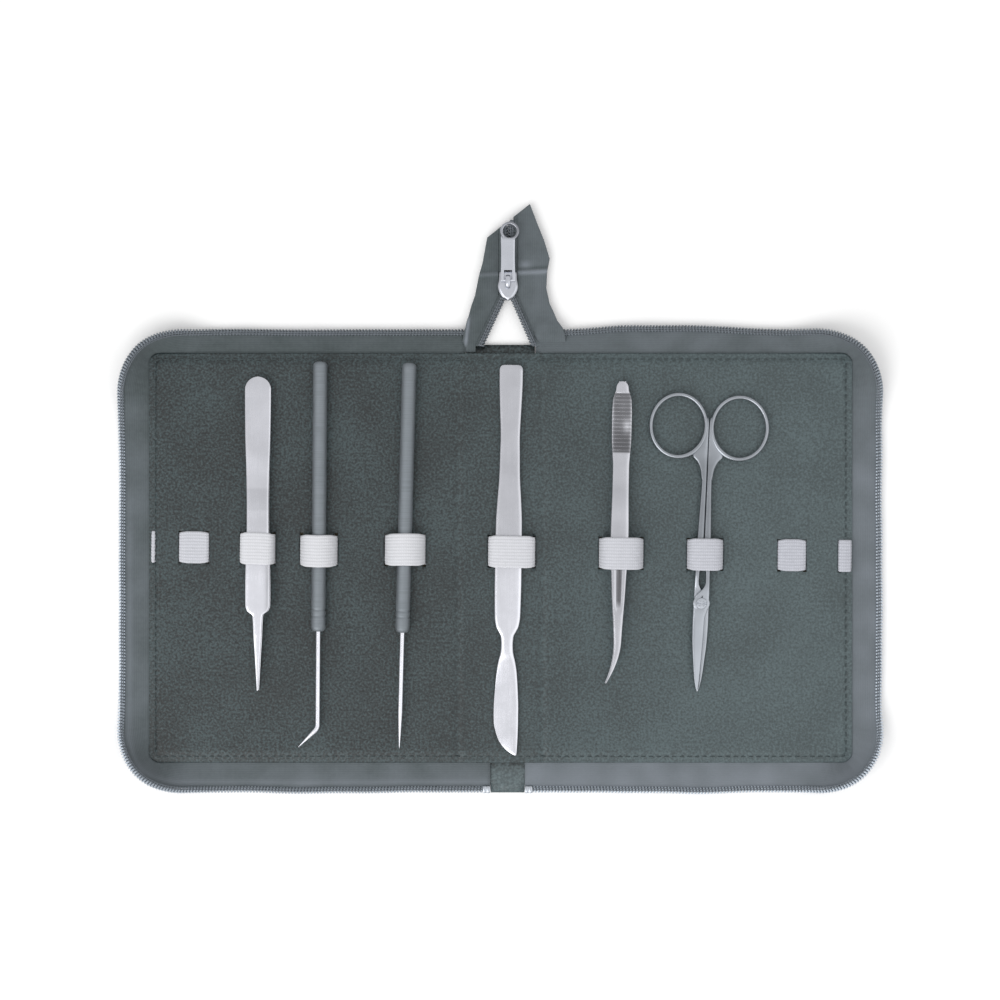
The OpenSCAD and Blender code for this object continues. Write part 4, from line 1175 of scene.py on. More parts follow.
def tail_rows(side):
    """Below the slider the rows open with it, and above it they close up as it runs."""
    name = side_name(side)
    step = bpy.context.scene.case_sizes.coil_pitch / MM / TURN_STEPS
    shift = 0.0 if side < 0 else 0.5
    top = cut_y(TAIL_LEAN + side * CHAIN_W / 2) - 0.8
    for part, low, high in (("open", VEE_Y - 0.6, MEET_Y), ("closed", MEET_Y, top)):
        path, inward, up, run = row_path(side, low, high, step)
        if part == "closed":
            path = path - inward * 0.25      # the heads of closed rows reach between each other
        row = piece(f"{name}_{part}_teeth", *coil(path, inward, up, run, shift=shift),
                    "zip_coil", "zip_coil")
        sewing = piece(f"{name}_{part}_sewing", *coil_threads(path, inward, up, run, shift),
                       "coil_thread", "zip_tape")
        points, faces = row_cloth(side, low, MEET_Y if part == "open" else None)
        cloth = piece(f"{name}_{part}_strip", points, faces, "zip_tape", "zip_tape",
                      weave=[p[:2] for p in points], wear_and_painted_light=tail_wear_and_painted_highlights, closed=False)
        thicken(cloth, 0.45, 0)
        if part == "closed":
            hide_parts(name + "_tail_teeth")
        for made in (row, sewing, cloth):
            if part == "open":
                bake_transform(made)
            else:
                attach(made, "spine")
                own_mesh(made)


# ---------- boards ----------

def keep_solid(name, finish):
    """A solid whose shape is right: it only gets its finish."""
    node = frame["nodes"][name]
    if not node.material_slots:
        node.data.materials.append(None)
    for held in node.material_slots:
        held.material = material(finish)


# ---------- slider ----------

PLATE_T = 0.75                # thickness of the slider's plates
CHANNEL = 3.06                # half of the space between its side walls
PULLER_HALF, SLOT_HALF = 2.8, 1.5     # half of the puller's width, and of its slot's
EYE_R, EYE_WIDE = 3.15, 1.2   # the puller's ring: its middle line, and the metal's width


def slider_body():
    """Two plates, the wedge that parts the rows in the nose, and side walls with a slot for
    the tape. The upper plate has a flat crown with sloping sides."""
    low, high = corners("slider_body")
    # height over the nose, half of the width, half of the crown
    outline = [(0.9, 0.35, 0.05), (1.3, 1.15, 0.3), (2.2, 2.15, 1.1), (3.6, 3.1, 2.1),
               (5.2, 3.75, 2.9), (6.2, 3.9, 3.1), (7.4, 3.75, 2.7), (8.6, 3.5, 2.2),
               (10, 3.38, 2.0), (11.4, 3.35, 2.0), (11.8, 3.1, 1.8)]
    upper, lower, walls = [], [], {}
    for rise, wide, crown in curve_through(outline, 0.3):
        y = low.y + rise
        across = [-wide * math.cos(math.pi * (k + 0.5) / 20) for k in range(20)]
        ends = 0.3 * (1 - ease(0.9, 2, rise)) + 0.25 * ease(11.2, 11.8, rise)
        top = [(TAIL_LEAN + u, y, max(high.z - ends - 0.45 * ease(crown, wide + 0.2, abs(u)),
                                      high.z - PLATE_T + 0.12)) for u in across]
        upper.append(top + [(x, y, high.z - PLATE_T) for x, _, _ in top[::-1]])
        lower.append(bar_ring(y, TAIL_LEAN - wide, TAIL_LEAN + wide, low.z, low.z + PLATE_T, 8))
        if 4.7 < rise < 11.3:
            for side in (-1, 1):
                edges = TAIL_LEAN + side * CHANNEL, TAIL_LEAN + side * (wide - 0.04)
                for z in ((low.z + 0.4, 1.6), (2.9, high.z - 0.5)):
                    walls.setdefault((side, z), []).append(bar_ring(y, *edges, *z, 6, count=12))
    nose = [(-0.5, 1.3), (-0.3, 1.05), (0.3, 1.05), (0.5, 1.3), (0.08, 2.4), (-0.08, 2.4)]
    wedge = [[(TAIL_LEAN + u, low.y + rise, z) for u, rise in nose]
             for z in (low.z + 0.4, high.z - PLATE_T + 0.1)]
    points, faces = joined(loft(upper), loft(lower), loft(wedge),
                           *[loft(rings) for rings in walls.values()])
    # The plating is darker everywhere below the top of its crown.
    made = piece("slider_shell", points, faces, "nickel_plating", "bright_plating", sharp=50,
                 wear_and_painted_light=lambda x, y, z: 0.1 + 0.4 * (1 - ease(high.z - 0.5, high.z - 0.1, z)))
    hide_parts("slider_body")
    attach(made, "slider")


def bail(hinge_y):
    """The bridge on the slider that holds the puller: a strip bent to an arch."""
    low, high = corners("slider_bail")
    thick, wide = 0.42, 0.9
    line = []
    for a in range(0, 181, 6):
        c, s = heading(a)
        y = hinge_y - 0.5 + 2.35 * math.copysign(abs(c) ** 0.8, c)
        line.append((0, y, low.z - 0.1 + (high.z - low.z - thick) * abs(s) ** 0.7))
    rings = [[(TAIL_LEAN + x * wide / thick, y, z) for x, y, z in ring]
             for ring in tube(line, thick, 12, (1, 0, 0))]
    made = piece("slider_bridge", *loft(rings), "nickel_plating", "bright_plating",
                 wear_and_painted_light=lambda x, y, z: 0.12)
    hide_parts("slider_bail")
    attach(made, "slider")


def puller(hinge_y):
    """A flat bar that runs from its cross-bar, past a slot, to a ring of thinner metal."""
    low, high = corners("puller")
    eye = [m for m in frame["record"]["mounts"] if m["name"] == "puller_eyelet"][0]
    eye_x, eye_y = (c / MM for c in eye["pos_m"][:2])
    half = PULLER_HALF
    z = (low.z + high.z) / 2
    parts = [loft(tube([(TAIL_LEAN + u * half, hinge_y, z) for u in (-1, -0.98, 0, 0.98, 1)],
                       [0.4, 0.58, 0.6, 0.58, 0.4], 16))]
    for side in (-1, 1):
        parts.append(loft([bar_ring(y, TAIL_LEAN + side * SLOT_HALF, TAIL_LEAN + side * half,
                                    low.z, high.z, 4, count=20)
                           for y in (hinge_y, hinge_y + 2, hinge_y + 4.4)]))
    # place along the bar, its left and right edge from its middle
    bar = [(hinge_y + 4, -half, half), (hinge_y + 9, -half + 0.08, half - 0.08),
           (eye_y - 5, -half + 0.04, half - 0.04), (eye_y - 3, -half, half),
           (eye_y - 2.75, -half, 1.2), (eye_y - 2.35, -half, -1.95),
           (eye_y - 1.6, -half + 0.05, -half + 0.25)]
    parts.append(loft([bar_ring(y, TAIL_LEAN + left, TAIL_LEAN + right, low.z, high.z, 5)
                       for y, left, right in curve_through(bar, 0.5)]))
    ring = []
    for a in range(0, 360, 5):
        c, s = heading(a)
        section = [math.radians(k) for k in range(0, 360, 24)]
        ring.append([(eye_x + (EYE_R + EYE_WIDE / 2 * math.cos(b)) * c,
                      eye_y + (EYE_R + EYE_WIDE / 2 * math.cos(b)) * s,
                      z + 0.56 * math.sin(b)) for b in section])
    parts.append(loft(ring, True))
    # The ring is tarnished where it has been pulled.
    made = piece("puller_bar", *joined(*parts), "nickel_plating", "bright_plating", sharp=50,
                 wear_and_painted_light=lambda x, y, z: 0.04 + 0.56 * ease(eye_y - 3.6, eye_y - 2.2, y)
                 * (1 - 0.35 * ease(eye_x + 1, eye_x - 3, x)))
    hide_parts("puller")
    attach(made, "puller")


def slider_parts():
    """The slider; its bridge and its puller share one hinge line."""
    hinge_y = corners("puller")[0].y + 0.6
    slider_body()
    bail(hinge_y)
    puller(hinge_y)


# ---------- instruments ----------

def laid(x, lean):
    """Place of an instrument that crosses the band at x and leans to the right at its top."""
    return (Matrix.Translation((x, BAND_Y - x * BAND_SLOPE, LINING_TOP))
            @ Matrix.Rotation(math.radians(-lean), 4, "Z"))


LIFT = 0.3                    # gap under an instrument
FORCEPS_GAP = 3.1             # height by which an upper arm bows up
NO_GRIP = (0, 0, 1, 0)        # an arm without ridges


def arm_height(drop, long, base, climb):
    """Height of an arm's underside at a distance from its top end."""
    table = [(0, 0), (8 / long, 0), (0.5, 0.62), (0.82, 1), (1, 0.97)]
    return base + climb * np.interp(drop / long, [t[0] for t in table], [t[1] for t in table])


def arm(outline, top, long, thick, base, climb, grip, groove=None, bend=lambda y: 0):
    """Skin of one spring arm. outline is a table of [y, half-width]; grip is the stretch with
    fine ridges across it, [low, high, pitch, depth]; groove a channel along it."""
    rings = []
    for y, half in curve_through(outline, 0.28):
        drop = top - y
        z = arm_height(drop, long, base, climb)
        t = mix(thick, 0.8, ease(long * 0.75, long, drop))
        ridge = 0
        if grip[0] < y < grip[1]:
            fade = ease(grip[0], grip[0] + 1, y) * (1 - ease(grip[1] - 1, grip[1], y))
            ridge = -grip[3] * fade * (0.5 - 0.5 * math.cos(2 * math.pi * y / grip[2]))
        half = max(half, 0.06)
        ring = bar_ring(y, bend(y) - half, bend(y) + half, z, z + t, 5)
        shaped = []
        for x, py, pz in ring:
            if pz > z + t * 0.5:
                across = (x - bend(y)) / half
                pz += 0.12 * (1 - across ** 2) + ridge * (1 - abs(across) ** 6)
                if groove and groove[0] < y < groove[1]:
                    fade = ease(groove[0], groove[0] + 5, y) * (1 - ease(groove[1] - 2, groove[1], y))
                    pz -= groove[2] * fade * bump(across, 0.42)
            shaped.append((x, py, pz))
        rings.append(shaped)
    return loft(rings)


def dull_grip(y, x, half, low, high, strength):
    """How dull a grip is inside its stretch; its edges stay bright."""
    across = min(abs(x) / half, 1)
    return strength * ease(low, low + 1.5, y) * (1 - ease(high - 1.5, high, y)) * (1 - across ** 10)


def block(x0, x1, y0, y1, z0, z1):
    """A small rounded packing piece."""
    return loft([bar_ring(y, x0, x1, z0, z1, 6, count=16) for y in (y0, mix(y0, y1, 0.5), y1)])


FINE_X = middle("fine_forceps_lower_arm").x + 1
FINE_TOP, FINE_L, FINE_W, FINE_T = 66.8, 122, 10.4, 1.3


def fine_outline():
    h = FINE_W / 2
    low = FINE_TOP - FINE_L
    end = [(FINE_TOP - h + h * math.sin(math.radians(a)), h * math.cos(math.radians(a)))
           for a in (89, 84, 76, 66, 54, 40, 24, 8)]
    return end + [(46, h * 0.96), (38, h * 0.92), (31, h * 0.87), (15, h * 0.82), (8, h * 0.82),
                  (-8, h * 0.9), (-16, h * 0.92), (low + 33, h * 0.91), (low + 31, h * 0.8),
                  (low + 29, 2.0), (low + 20, 1.5), (low + 13, 1.05), (low + 6, 0.65),
                  (low, 0.3)]


def fine_dull_and_painted_shade(x, y, z):
    # The arm is duller on its handle and its grip; the dark line along its right edge below the band is
    # painted shade, where the lower arm lies beside it.
    return (0.05 + 0.2 * ease(2, 10, y) + dull_grip(y, x, 4.4, 14, 24, 0.1)
            + 0.1 * wander(x, y, 12, 31) + 0.35 * bump(x - 4, 0.9) * (1 - ease(-6, 0, y)))


def fine_forceps():
    place = laid(FINE_X, 0)
    lower = joined(arm(fine_outline(), FINE_TOP, FINE_L, FINE_T, LIFT, 0, NO_GRIP),
                   block(-2.6, 2.6, FINE_TOP - 8, FINE_TOP - 2.6, 1.5, 2.0))
    made = piece("fine_forceps_under", *lower, "polished_steel", "polished_steel", place, sharp=60)
    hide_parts("fine_forceps_lower_arm")
    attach(made, "fine_forceps")
    upper = arm(fine_outline(), FINE_TOP, FINE_L, FINE_T, 2 * LIFT + FINE_T, FORCEPS_GAP,
                NO_GRIP)
    made = piece("fine_forceps_over", *upper, "polished_steel", "polished_steel", place,
                 wear_and_painted_light=fine_dull_and_painted_shade, sharp=60)
    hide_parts("fine_forceps_upper_arm")
    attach(made, "fine_forceps_arm")


CURVED_TOP, CURVED_L, CURVED_W, CURVED_T = 69.5, 120, 8.2, 1.2
CURVED_X, CURVED_LEAN = 46.15, 1.2


def curved_bend(y):
    return 0 if y > -34 else -4.3 * ((-34 - y) / 16.5) ** 2


def curved_outline():
    g = CURVED_W / 2
    low = CURVED_TOP - CURVED_L
    return [(CURVED_TOP - 2.6, 0.5), (CURVED_TOP - 2.8, 1.2), (CURVED_TOP - 3.5, 1.95),
            (CURVED_TOP - 4.6, 2.4), (CURVED_TOP - 6.2, 2.6), (CURVED_TOP - 7.8, g * 0.78),
            (CURVED_TOP - 10, g * 0.9), (CURVED_TOP - 16, g * 0.95), (44, g * 0.93),
            (38, g * 0.84), (34, g * 0.78), (24, g * 0.79), (7, g * 0.85), (-3, g * 0.79),
            (-9, g * 0.7), (-16, g * 0.62), (-23, g * 0.51), (-30, g * 0.4), (-36, 1.35),
            (-40, 1.1), (-43, 0.85), (-46, 0.6), (low, 0.25)]


def curved_dull_and_painted_light(x, y, z):
    """A dulled, cross-cut grip that is darkest at its lower end, with a painted highlight in it, and a
    groove painted dark as shade.
    """
    grip = dull_grip(y, x, 3.9, 38.2, 63.4, 0.9 + 0.04 * (1 - ease(42, 50, y)))
    patches = 1 - 0.12 * max(0, wander(x, y, 6, 41) + 0.2) * ease(46, 50, y)
    # A painted highlight: a pale spot in the middle of the grip.
    patches -= 0.5 * bump(math.hypot(x - 2, (y - 49.5) / 1.6), 1.4)
    # Painted shade: the groove is painted nearly black, as a deep slot in shadow.
    slot = 0.93 * (1 - ease(0.8, 1.2, abs(x))) * ease(-24, -18, y) * (1 - ease(-4, -2, y))
    return min(1, max(grip * patches, slot, 0.38 + 0.1 * wander(x, y, 10, 43)))


def curved_forceps():
    place = laid(CURVED_X, CURVED_LEAN)
    groove = (-24, -2, 0.75)
    lower = joined(arm(curved_outline(), CURVED_TOP, CURVED_L, CURVED_T, LIFT, 0, NO_GRIP,
                       bend=curved_bend),
                   block(-1.4, 1.4, CURVED_TOP - 8, CURVED_TOP - 2.6, 1.4, 1.9))
    made = piece("curved_forceps_under", *lower, "polished_steel", "polished_steel", place,
                 sharp=60)
    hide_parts("curved_forceps_lower_arm")
    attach(made, "curved_forceps")
    upper = arm(curved_outline(), CURVED_TOP, CURVED_L, CURVED_T, 2 * LIFT + CURVED_T, FORCEPS_GAP,
                (38.5, 63, 1.5, 0.22), groove, curved_bend)
    made = piece("curved_forceps_over", *upper, "polished_steel", "polished_steel", place,
                 wear_and_painted_light=curved_dull_and_painted_light, sharp=60)
    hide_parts("curved_forceps_upper_arm")
    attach(made, "curved_forceps_arm")


NEEDLE_TOP, HANDLE_L, HANDLE_D, NEEDLE_L, NEEDLE_D = 73, 105, 5.6, 45, 1.9
HANDLE_Z = LIFT + HANDLE_D / 2
BEND_R = 3.5                  # the bent needle's bend, and its straight length past it
BENT_L = 9
TANG_L = 12                   # steel that is held inside the handle
POINT_L = 14                  # the straight needle's ground point
POINT_R = 0.12                # radius left at either tip


def needle_handle(name, place, body):
    """A turned rod: domed top, fine rings left by the lathe, two shallow grooves and a
    tapered collar where the steel comes out."""
    r = HANDLE_D / 2
    low = NEEDLE_TOP - HANDLE_L
    table = [(NEEDLE_TOP, r * 0.2), (NEEDLE_TOP - 0.15, r * 0.5), (NEEDLE_TOP - 0.5, r * 0.75),
             (NEEDLE_TOP - 1.2, r * 0.95), (NEEDLE_TOP - 2, r), (low + 9, r), (low + 8.4, r * 0.93),
             (low + 7.8, r), (low + 6.6, r), (low + 6, r * 0.93), (low + 5.4, r), (low + 1.8, r),
             (low + 0.8, r * 0.9), (low + 0.2, r * 0.72), (low, r * 0.5)]
    rings = []
    for y, radius in curve_through(table, 0.45):
        radius -= 0.02 * (0.5 + 0.5 * math.sin(y * 7.0)) if low + 10 < y < NEEDLE_TOP - 3 else 0
        rings.append(bar_ring(y, -radius, radius, HANDLE_Z - radius, HANDLE_Z + radius, 2,
                              count=28))
    made = piece(name, *loft(rings), "turned_aluminium", "needle_handle_metal", place, sharp=50)
    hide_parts(body + "_handle")
    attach(made, body)


def needle_steel(name, place, body, bent):
    """A ground steel rod, straight or turned to the left by an eighth of a turn near its tip."""
    low = NEEDLE_TOP - HANDLE_L
    r = NEEDLE_D / 2
    if bent:
        straight = NEEDLE_L - BEND_R * math.sin(math.pi / 4) - BENT_L * math.cos(math.pi / 4)
        line = [(0, low + TANG_L, HANDLE_Z, r), (0, low, HANDLE_Z, r)]
        line += [(0, low - straight * t, HANDLE_Z, r) for t in (0.25, 0.5, 0.75, 0.95)]
        for a in range(0, 46, 5):
            turn = math.radians(a)
            line.append((-BEND_R + BEND_R * math.cos(turn),
                         low - straight - BEND_R * math.sin(turn), HANDLE_Z, r))
        x, y = line[-1][:2]
        c = math.cos(math.pi / 4)
        for t in (0.15, 0.35, 0.55, 0.75, 0.9, 0.97, 1):
            line.append((x - BENT_L * t * c, y - BENT_L * t * c, HANDLE_Z,
                         mix(r, POINT_R, t ** 1.1)))
    else:
        line = [(0, low + TANG_L, HANDLE_Z, r), (0, low, HANDLE_Z, r)]
        line += [(0, low - (NEEDLE_L - POINT_L) * t, HANDLE_Z, r) for t in (0.25, 0.5, 0.75, 1)]
        line += [(0, low - NEEDLE_L + POINT_L * (1 - t), HANDLE_Z, mix(r, POINT_R, t ** 1.15))
                 for t in (0.2, 0.4, 0.6, 0.8, 0.92, 1)]
    line = np.array(line)
    made = piece(name, *loft(tube(line[:, :3], line[:, 3], 16)), "polished_steel",
                 "needle_steel", place)
    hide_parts(body + "_steel")
    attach(made, body)


BENT_X, BENT_LEAN = middle("bent_needle_handle").x + 0.5, 0.43
STRAIGHT_X, STRAIGHT_LEAN = -37.35, 1.5


def needles():
    bent = laid(BENT_X, BENT_LEAN)
    needle_handle("bent_needle_grip", bent, "bent_needle")
    needle_steel("bent_needle_point", bent, "bent_needle", True)
    straight = laid(STRAIGHT_X, STRAIGHT_LEAN)
    needle_handle("straight_needle_grip", straight, "straight_needle")
    needle_steel("straight_needle_point", straight, "straight_needle", False)


SCALPEL_TOP, SCALPEL_L, SCALPEL_W, SCALPEL_T = 72.8, 152, 10.6, 2.4
SCALPEL_X, SCALPEL_LEAN = 3.1, 0.9


def scalpel_dull(x, y, z):
    """The handle is satin and the blade, below it, is ground bright."""
    return 0.12 + 0.25 * ease(-14, 8, y) + 0.07 * wander(x, y, 14, 51)


def scalpel():
    g = SCALPEL_W / 2
    low = SCALPEL_TOP - SCALPEL_L
    top = LIFT + SCALPEL_T
    # y, left, right, underside, upper side, squareness, thickness of the left edge
    table = [(SCALPEL_TOP, -g * 0.62, g * 0.62, LIFT + 0.5, top - 0.5, 4, 1),
             (SCALPEL_TOP - 0.5, -g * 0.78, g * 0.78, LIFT + 0.15, top - 0.15, 4, 1),
             (SCALPEL_TOP - 1.8, -g * 0.88, g * 0.88, LIFT, top, 5, 1),
             *[(y, -g * share, g * share, LIFT, top, 5, 1) for y, share in (
                 (67, 0.88), (57, 0.82), (44, 0.73), (39, 0.75), (29, 0.79), (20, 0.9),
                 (11, 0.98), (-11, 1), (-25, 0.96), (-29, 0.85))],
             (-31, -g * 0.68, g * 0.68, LIFT, top, 4, 1), (-33, -g * 0.5, g * 0.5, LIFT, top, 3.2, 1),
             (low + 43, -2.4, 2.4, LIFT + 0.05, top - 0.05, 2.8, 1),
             (low + 40, -2.55, 2.55, LIFT + 0.15, top - 0.2, 2.8, 1),
             (low + 37, -3.2, 3.2, LIFT + 0.3, top - 0.4, 2.8, 0.7),
             (low + 33, -3.8, 3.9, LIFT + 0.45, top - 0.5, 3, 0.4),
             (low + 27, -4.3, 4.4, LIFT + 0.55, top - 0.55, 3, 0.15),
             (low + 17.5, -4.8, 4.8, LIFT + 0.65, top - 0.65, 3, 0.06),
             (low + 13, -4.7, 4.8, LIFT + 0.7, top - 0.68, 3, 0.06),
             (low + 9, -3.9, 4.75, LIFT + 0.75, top - 0.7, 3, 0.06),
             (low + 5.4, -2.5, 4.65, LIFT + 0.8, top - 0.7, 3, 0.06),
             (low + 2.5, -0.2, 4.5, LIFT + 0.85, top - 0.75, 3, 0.1),
             (low + 0.7, 2.1, 4.35, LIFT + 0.9, top - 0.78, 3, 0.2),
             (low, 3.4, 4.2, LIFT + 1.0, top - 0.85, 3, 0.5)]
    rings = [bar_ring(*row, count=40) for row in curve_through(table, 0.7)]
    made = piece("scalpel_steel", *loft(rings), "polished_steel", "polished_steel",
                 laid(SCALPEL_X, SCALPEL_LEAN), wear_and_painted_light=scalpel_dull, sharp=60)
    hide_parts("scalpel")
    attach(made, "scalpel")


SHANK_L, SCISSORS_LEAN, PIVOT_DROP = 68.7, 2.6, 19
BLADE_L, BLADE_T = 34.3, 1.6
RING_X, RING_Y, RING_WIRE = 10.75, 12.1, 2
RING_MID = RING_X + RING_WIRE / 2 + 0.15
SCISSORS_X = 78.98
SHANK_Z = LIFT + BLADE_T + 0.025
LAP_R = 4.2
SCREW_R = 1.2


def half_pair(base):
    """One half, with its ring on the right and its blade's back on the left: ring, shank, lap
    and blade are drawn as skins that run into each other."""
    ring = []
    for a in range(0, 360, 5):
        turn = math.radians(a)
        p = Vector((RING_MID + RING_X * math.cos(turn), SHANK_L + RING_Y * math.sin(turn), SHANK_Z))
        out = Vector((math.cos(turn) / RING_X, math.sin(turn) / RING_Y, 0)).normalized()
        thick = RING_WIRE / 2 * (0.78 + 0.22 * bump((a - 232) / 25, 1))
        ring.append([tuple(p + thick * (out * math.cos(b) + Vector((0, 0, 1)) * math.sin(b)))
                     for b in [math.radians(k) for k in range(0, 360, 30)]])
    ring_low = SHANK_L - RING_Y
    w = RING_WIRE / 2
    # y, left, right, half of the thickness, squareness
    upright = [(SHANK_L + 3.5, 0.5, 0.9, 0.4, 2.5), (SHANK_L + 1.5, 0.08, 1.2, 0.55, 2.6),
               (ring_low + 9, 0.04, 1.5, 0.6, 2.6), (ring_low + 6, 0.04, 2.5, 0.6, 2.6),
               (ring_low + 3.4, 0.04, 4.3, 0.65, 2.8), (ring_low + 2, 0.03, 5.4, 0.7, 2.8),
               (ring_low + 0.6, 0.03, 5.9, 0.7, 2.8), (ring_low - 1.4, 0.03, 4.2, 0.8, 3),
               (ring_low - 4.5, 0.03, 2.8, w, 3.2), (ring_low - 8, 0.03, 2.2, w, 3.2),
               (48, 0.03, 2, w, 3.2), (32, 0.03, 2.5, w, 3.2), (22, 0.06, 2.75, w, 3.4),
               (17, 0.5, 2.8, w, 3.4), (11, 1.2, 2.9, w, 3.6)]
    shank = [(y, left, right, SHANK_Z - half, SHANK_Z + half, square)
             for y, left, right, half, square in upright]
    # y, left, right, underside, upper side, squareness: the shank steps into the lap
    shank += [
        (8, 1.25, 2.9, mix(SHANK_Z - w, base, 0.5), mix(SHANK_Z + w, base + BLADE_T, 0.5), 4),
        (5.5, 0.2, 2.9, base, base + BLADE_T, 4.5), (3, -2.2, 2.95, base, base + BLADE_T, 5),
        (0, -3.1, 2.95, base, base + BLADE_T, 5)]
    # y, left, right, how much thinner each face is, thickness of the cutting edge
    blade = [(3, -2.6, 2.9, 0, 1), (0, -3.1, 2.95, 0, 1), (-2.5, -3.12, 2.5, 0, 1),
             (-6, -3.15, 1.5, 0.08, 0.7), (-14, -2.95, 1.2, 0.1, 0.4), (-23, -2.2, 0.75, 0.16, 0.35),
             (-BLADE_L + 5, -1.5, 0.45, 0.25, 0.3), (-BLADE_L + 1.4, -0.75, 0.2, 0.42, 0.3),
             (-BLADE_L, -0.25, 0.0, 0.6, 0.4)]
    blade_rings = []
    for y, left, right, shrink, keen in curve_through(blade, 0.8):
        ring_points = bar_ring(y, -right, -left, base + shrink, base + BLADE_T - shrink, 4, keen)
        blade_rings.append([(-x, py, z) for x, py, z in ring_points])
    shank_rings = [bar_ring(*row) for row in curve_through(shank, 0.9)]
    disc = []
    for z, r in ((base + 0.02, LAP_R - 1.3), (base + 0.12, LAP_R - 1.05),
                 (base + BLADE_T - 0.12, LAP_R - 1.05), (base + BLADE_T - 0.02, LAP_R - 1.3)):
        disc.append([(r * math.cos(a), r * math.sin(a), z)
                     for a in [math.radians(k) for k in range(0, 360, 12)]])
    return joined(loft(ring, True), loft(shank_rings), loft(blade_rings), loft(disc))


def scissors_dull(x, y, z):
    """Rings and shanks are duller than the ground blades."""
    return 0.15 + 0.36 * ease(2, 20, y) * (1 - 0.5 * ease(50, 60, y)) + 0.08 * wander(x, y, 10, 61)


def scissors():
    place = laid(SCISSORS_X, SCISSORS_LEAN) @ Matrix.Translation((0, -PIVOT_DROP, 0))
    points, faces = half_pair(SHANK_Z + 0.025)
    made = piece("scissors_over", points, faces, "tumbled_steel", "polished_steel", place,
                 wear_and_painted_light=scissors_dull, sharp=60)
    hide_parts("scissors_upper_half")
    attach(made, "scissors_upper")
    points, faces = half_pair(LIFT)
    made = piece("scissors_under", [(-x, y, z) for x, y, z in points], faces, "tumbled_steel",
                 "polished_steel", place, wear_and_painted_light=scissors_dull, sharp=60)
    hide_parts("scissors_lower_half")
    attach(made, "scissors")
    top = corners("scissors_screw")[1].z - LINING_TOP
    head = []
    for z, r in ((LIFT + 0.1, SCREW_R), (top - 0.75, SCREW_R), (top - 0.7, SCREW_R + 0.85),
                 (top - 0.62, SCREW_R + 1), (top - 0.3, SCREW_R + 1), (top - 0.1, SCREW_R + 0.8),
                 (top, SCREW_R + 0.3), (top, 0.3)):
        head.append([(r * math.cos(a), r * math.sin(a),
                      z - (0.3 if abs(r * math.sin(a)) < 0.24 and z > top - 0.4 else 0))
                     for a in [math.radians(k) for k in range(0, 360, 6)]])
    made = piece("scissors_pivot", *loft(head), "tumbled_steel", "polished_steel", place, sharp=30)
    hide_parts("scissors_screw")
    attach(made, "scissors")


# ---------- stage ----------

VIEW_W = 390                  # width of the view at the lining, in millimetres
VIEW_CENTRE = (-0.2, 23.8)
LENS = 100
SENSOR = 36
FLOOR_HALF = 2.5              # metres
FLOOR_Z = -0.0006             # just under the case, in metres


def background(tree):
    """1 for rays that should see plain white: the camera's, and those that metal reflects."""
    ray = add(tree, "ShaderNodeLightPath")
    seen = reckon(tree, "MAXIMUM", ray.outputs["Is Camera Ray"], ray.outputs["Is Glossy Ray"])
    return reckon(tree, "MAXIMUM", seen, ray.outputs["Is Transmission Ray"])


def stage_camera():
    lens = bpy.data.cameras.new("camera")
    lens.lens, lens.sensor_width = LENS, SENSOR
    camera = bpy.data.objects.new("camera", lens)
    camera.location = (VIEW_CENTRE[0] * MM, VIEW_CENTRE[1] * MM,
                       (VIEW_W * LENS / SENSOR + LINING_TOP) * MM)
    bpy.context.scene.collection.objects.link(camera)
    bpy.context.scene.camera = camera


def stage_floor():
    mesh = bpy.data.meshes.new("floor")
    half, low = FLOOR_HALF, FLOOR_Z
    mesh.from_pydata([(-half, -half, low), (half, -half, low), (half, half, low),
                      (-half, half, low)], [], [(0, 1, 2, 3)])
    floor_material, tree, shader = start("pale_floor", 0.9)
    white = add(tree, "ShaderNodeMix", {0: background(tree), 6: (0.7, 0.7, 0.71, 1),
                                        7: (1, 1, 1, 1)}, data_type="RGBA")
    shader.inputs["Emission Color"].default_value = (1, 1, 1, 1)
    feed(tree, shader, Base_Color=white.outputs[2],
         Emission_Strength=reckon(tree, "MULTIPLY", background(tree), 0.12))
    mesh.materials.append(floor_material)
    floor = bpy.data.objects.new("floor", mesh)
    bpy.context.scene.collection.objects.link(floor)


def lamp(name, place, size, power):
    """A square lamp that is aimed at the middle of the case."""
    light = bpy.data.lights.new(name, "AREA")
    light.shape, light.size, light.energy = "SQUARE", size, power
    made = bpy.data.objects.new(name, light)
    made.location = place
    made.rotation_euler = (Vector((0, 0, 0)) - Vector(place)).to_track_quat("-Z", "Y").to_euler()
    bpy.context.scene.collection.objects.link(made)


def stage_light():
    world = bpy.data.worlds.new("studio")
    bpy.context.scene.world = world
    world.use_nodes = True
    tree = world.node_tree
    strength = add(tree, "ShaderNodeMix", {0: background(tree), 2: 0.62, 3: 1.0})
    shine = tree.nodes["Background"]
    shine.inputs["Color"].default_value = (1, 1, 1, 1)
    tree.links.new(strength.outputs[0], shine.inputs["Strength"])
    lamp("key", (-0.6, -0.75, 1.0), 1.1, 10)
    lamp("fill", (0.8, -0.3, 1.1), 1.2, 2.5)


# ---------- operators ----------

class CASE_OT_stage(bpy.types.Operator):
    """Makes the camera, the pale floor and the studio light"""
    bl_idname = "instrument_case.stage"
    bl_label = "Stage"

    def execute(self, context):
        stage_camera()
        stage_floor()
        stage_light()
        return {"FINISHED"}


class CASE_OT_covers(bpy.types.Operator):
    """Makes the leatherette outside, the lining, their seams and the finish of the boards"""
    bl_idname = "instrument_case.covers"
    bl_label = "Covers"

    def execute(self, context):
        for side in (-1, 1):
            outside(side)
            lining(side)
            seams(side)
        for node in ("left_board", "right_board"):
            keep_solid(node, "greyboard")
        keep_solid("spine_board", "lining_leatherette")      # its ends show, and are covered
        return {"FINISHED"}


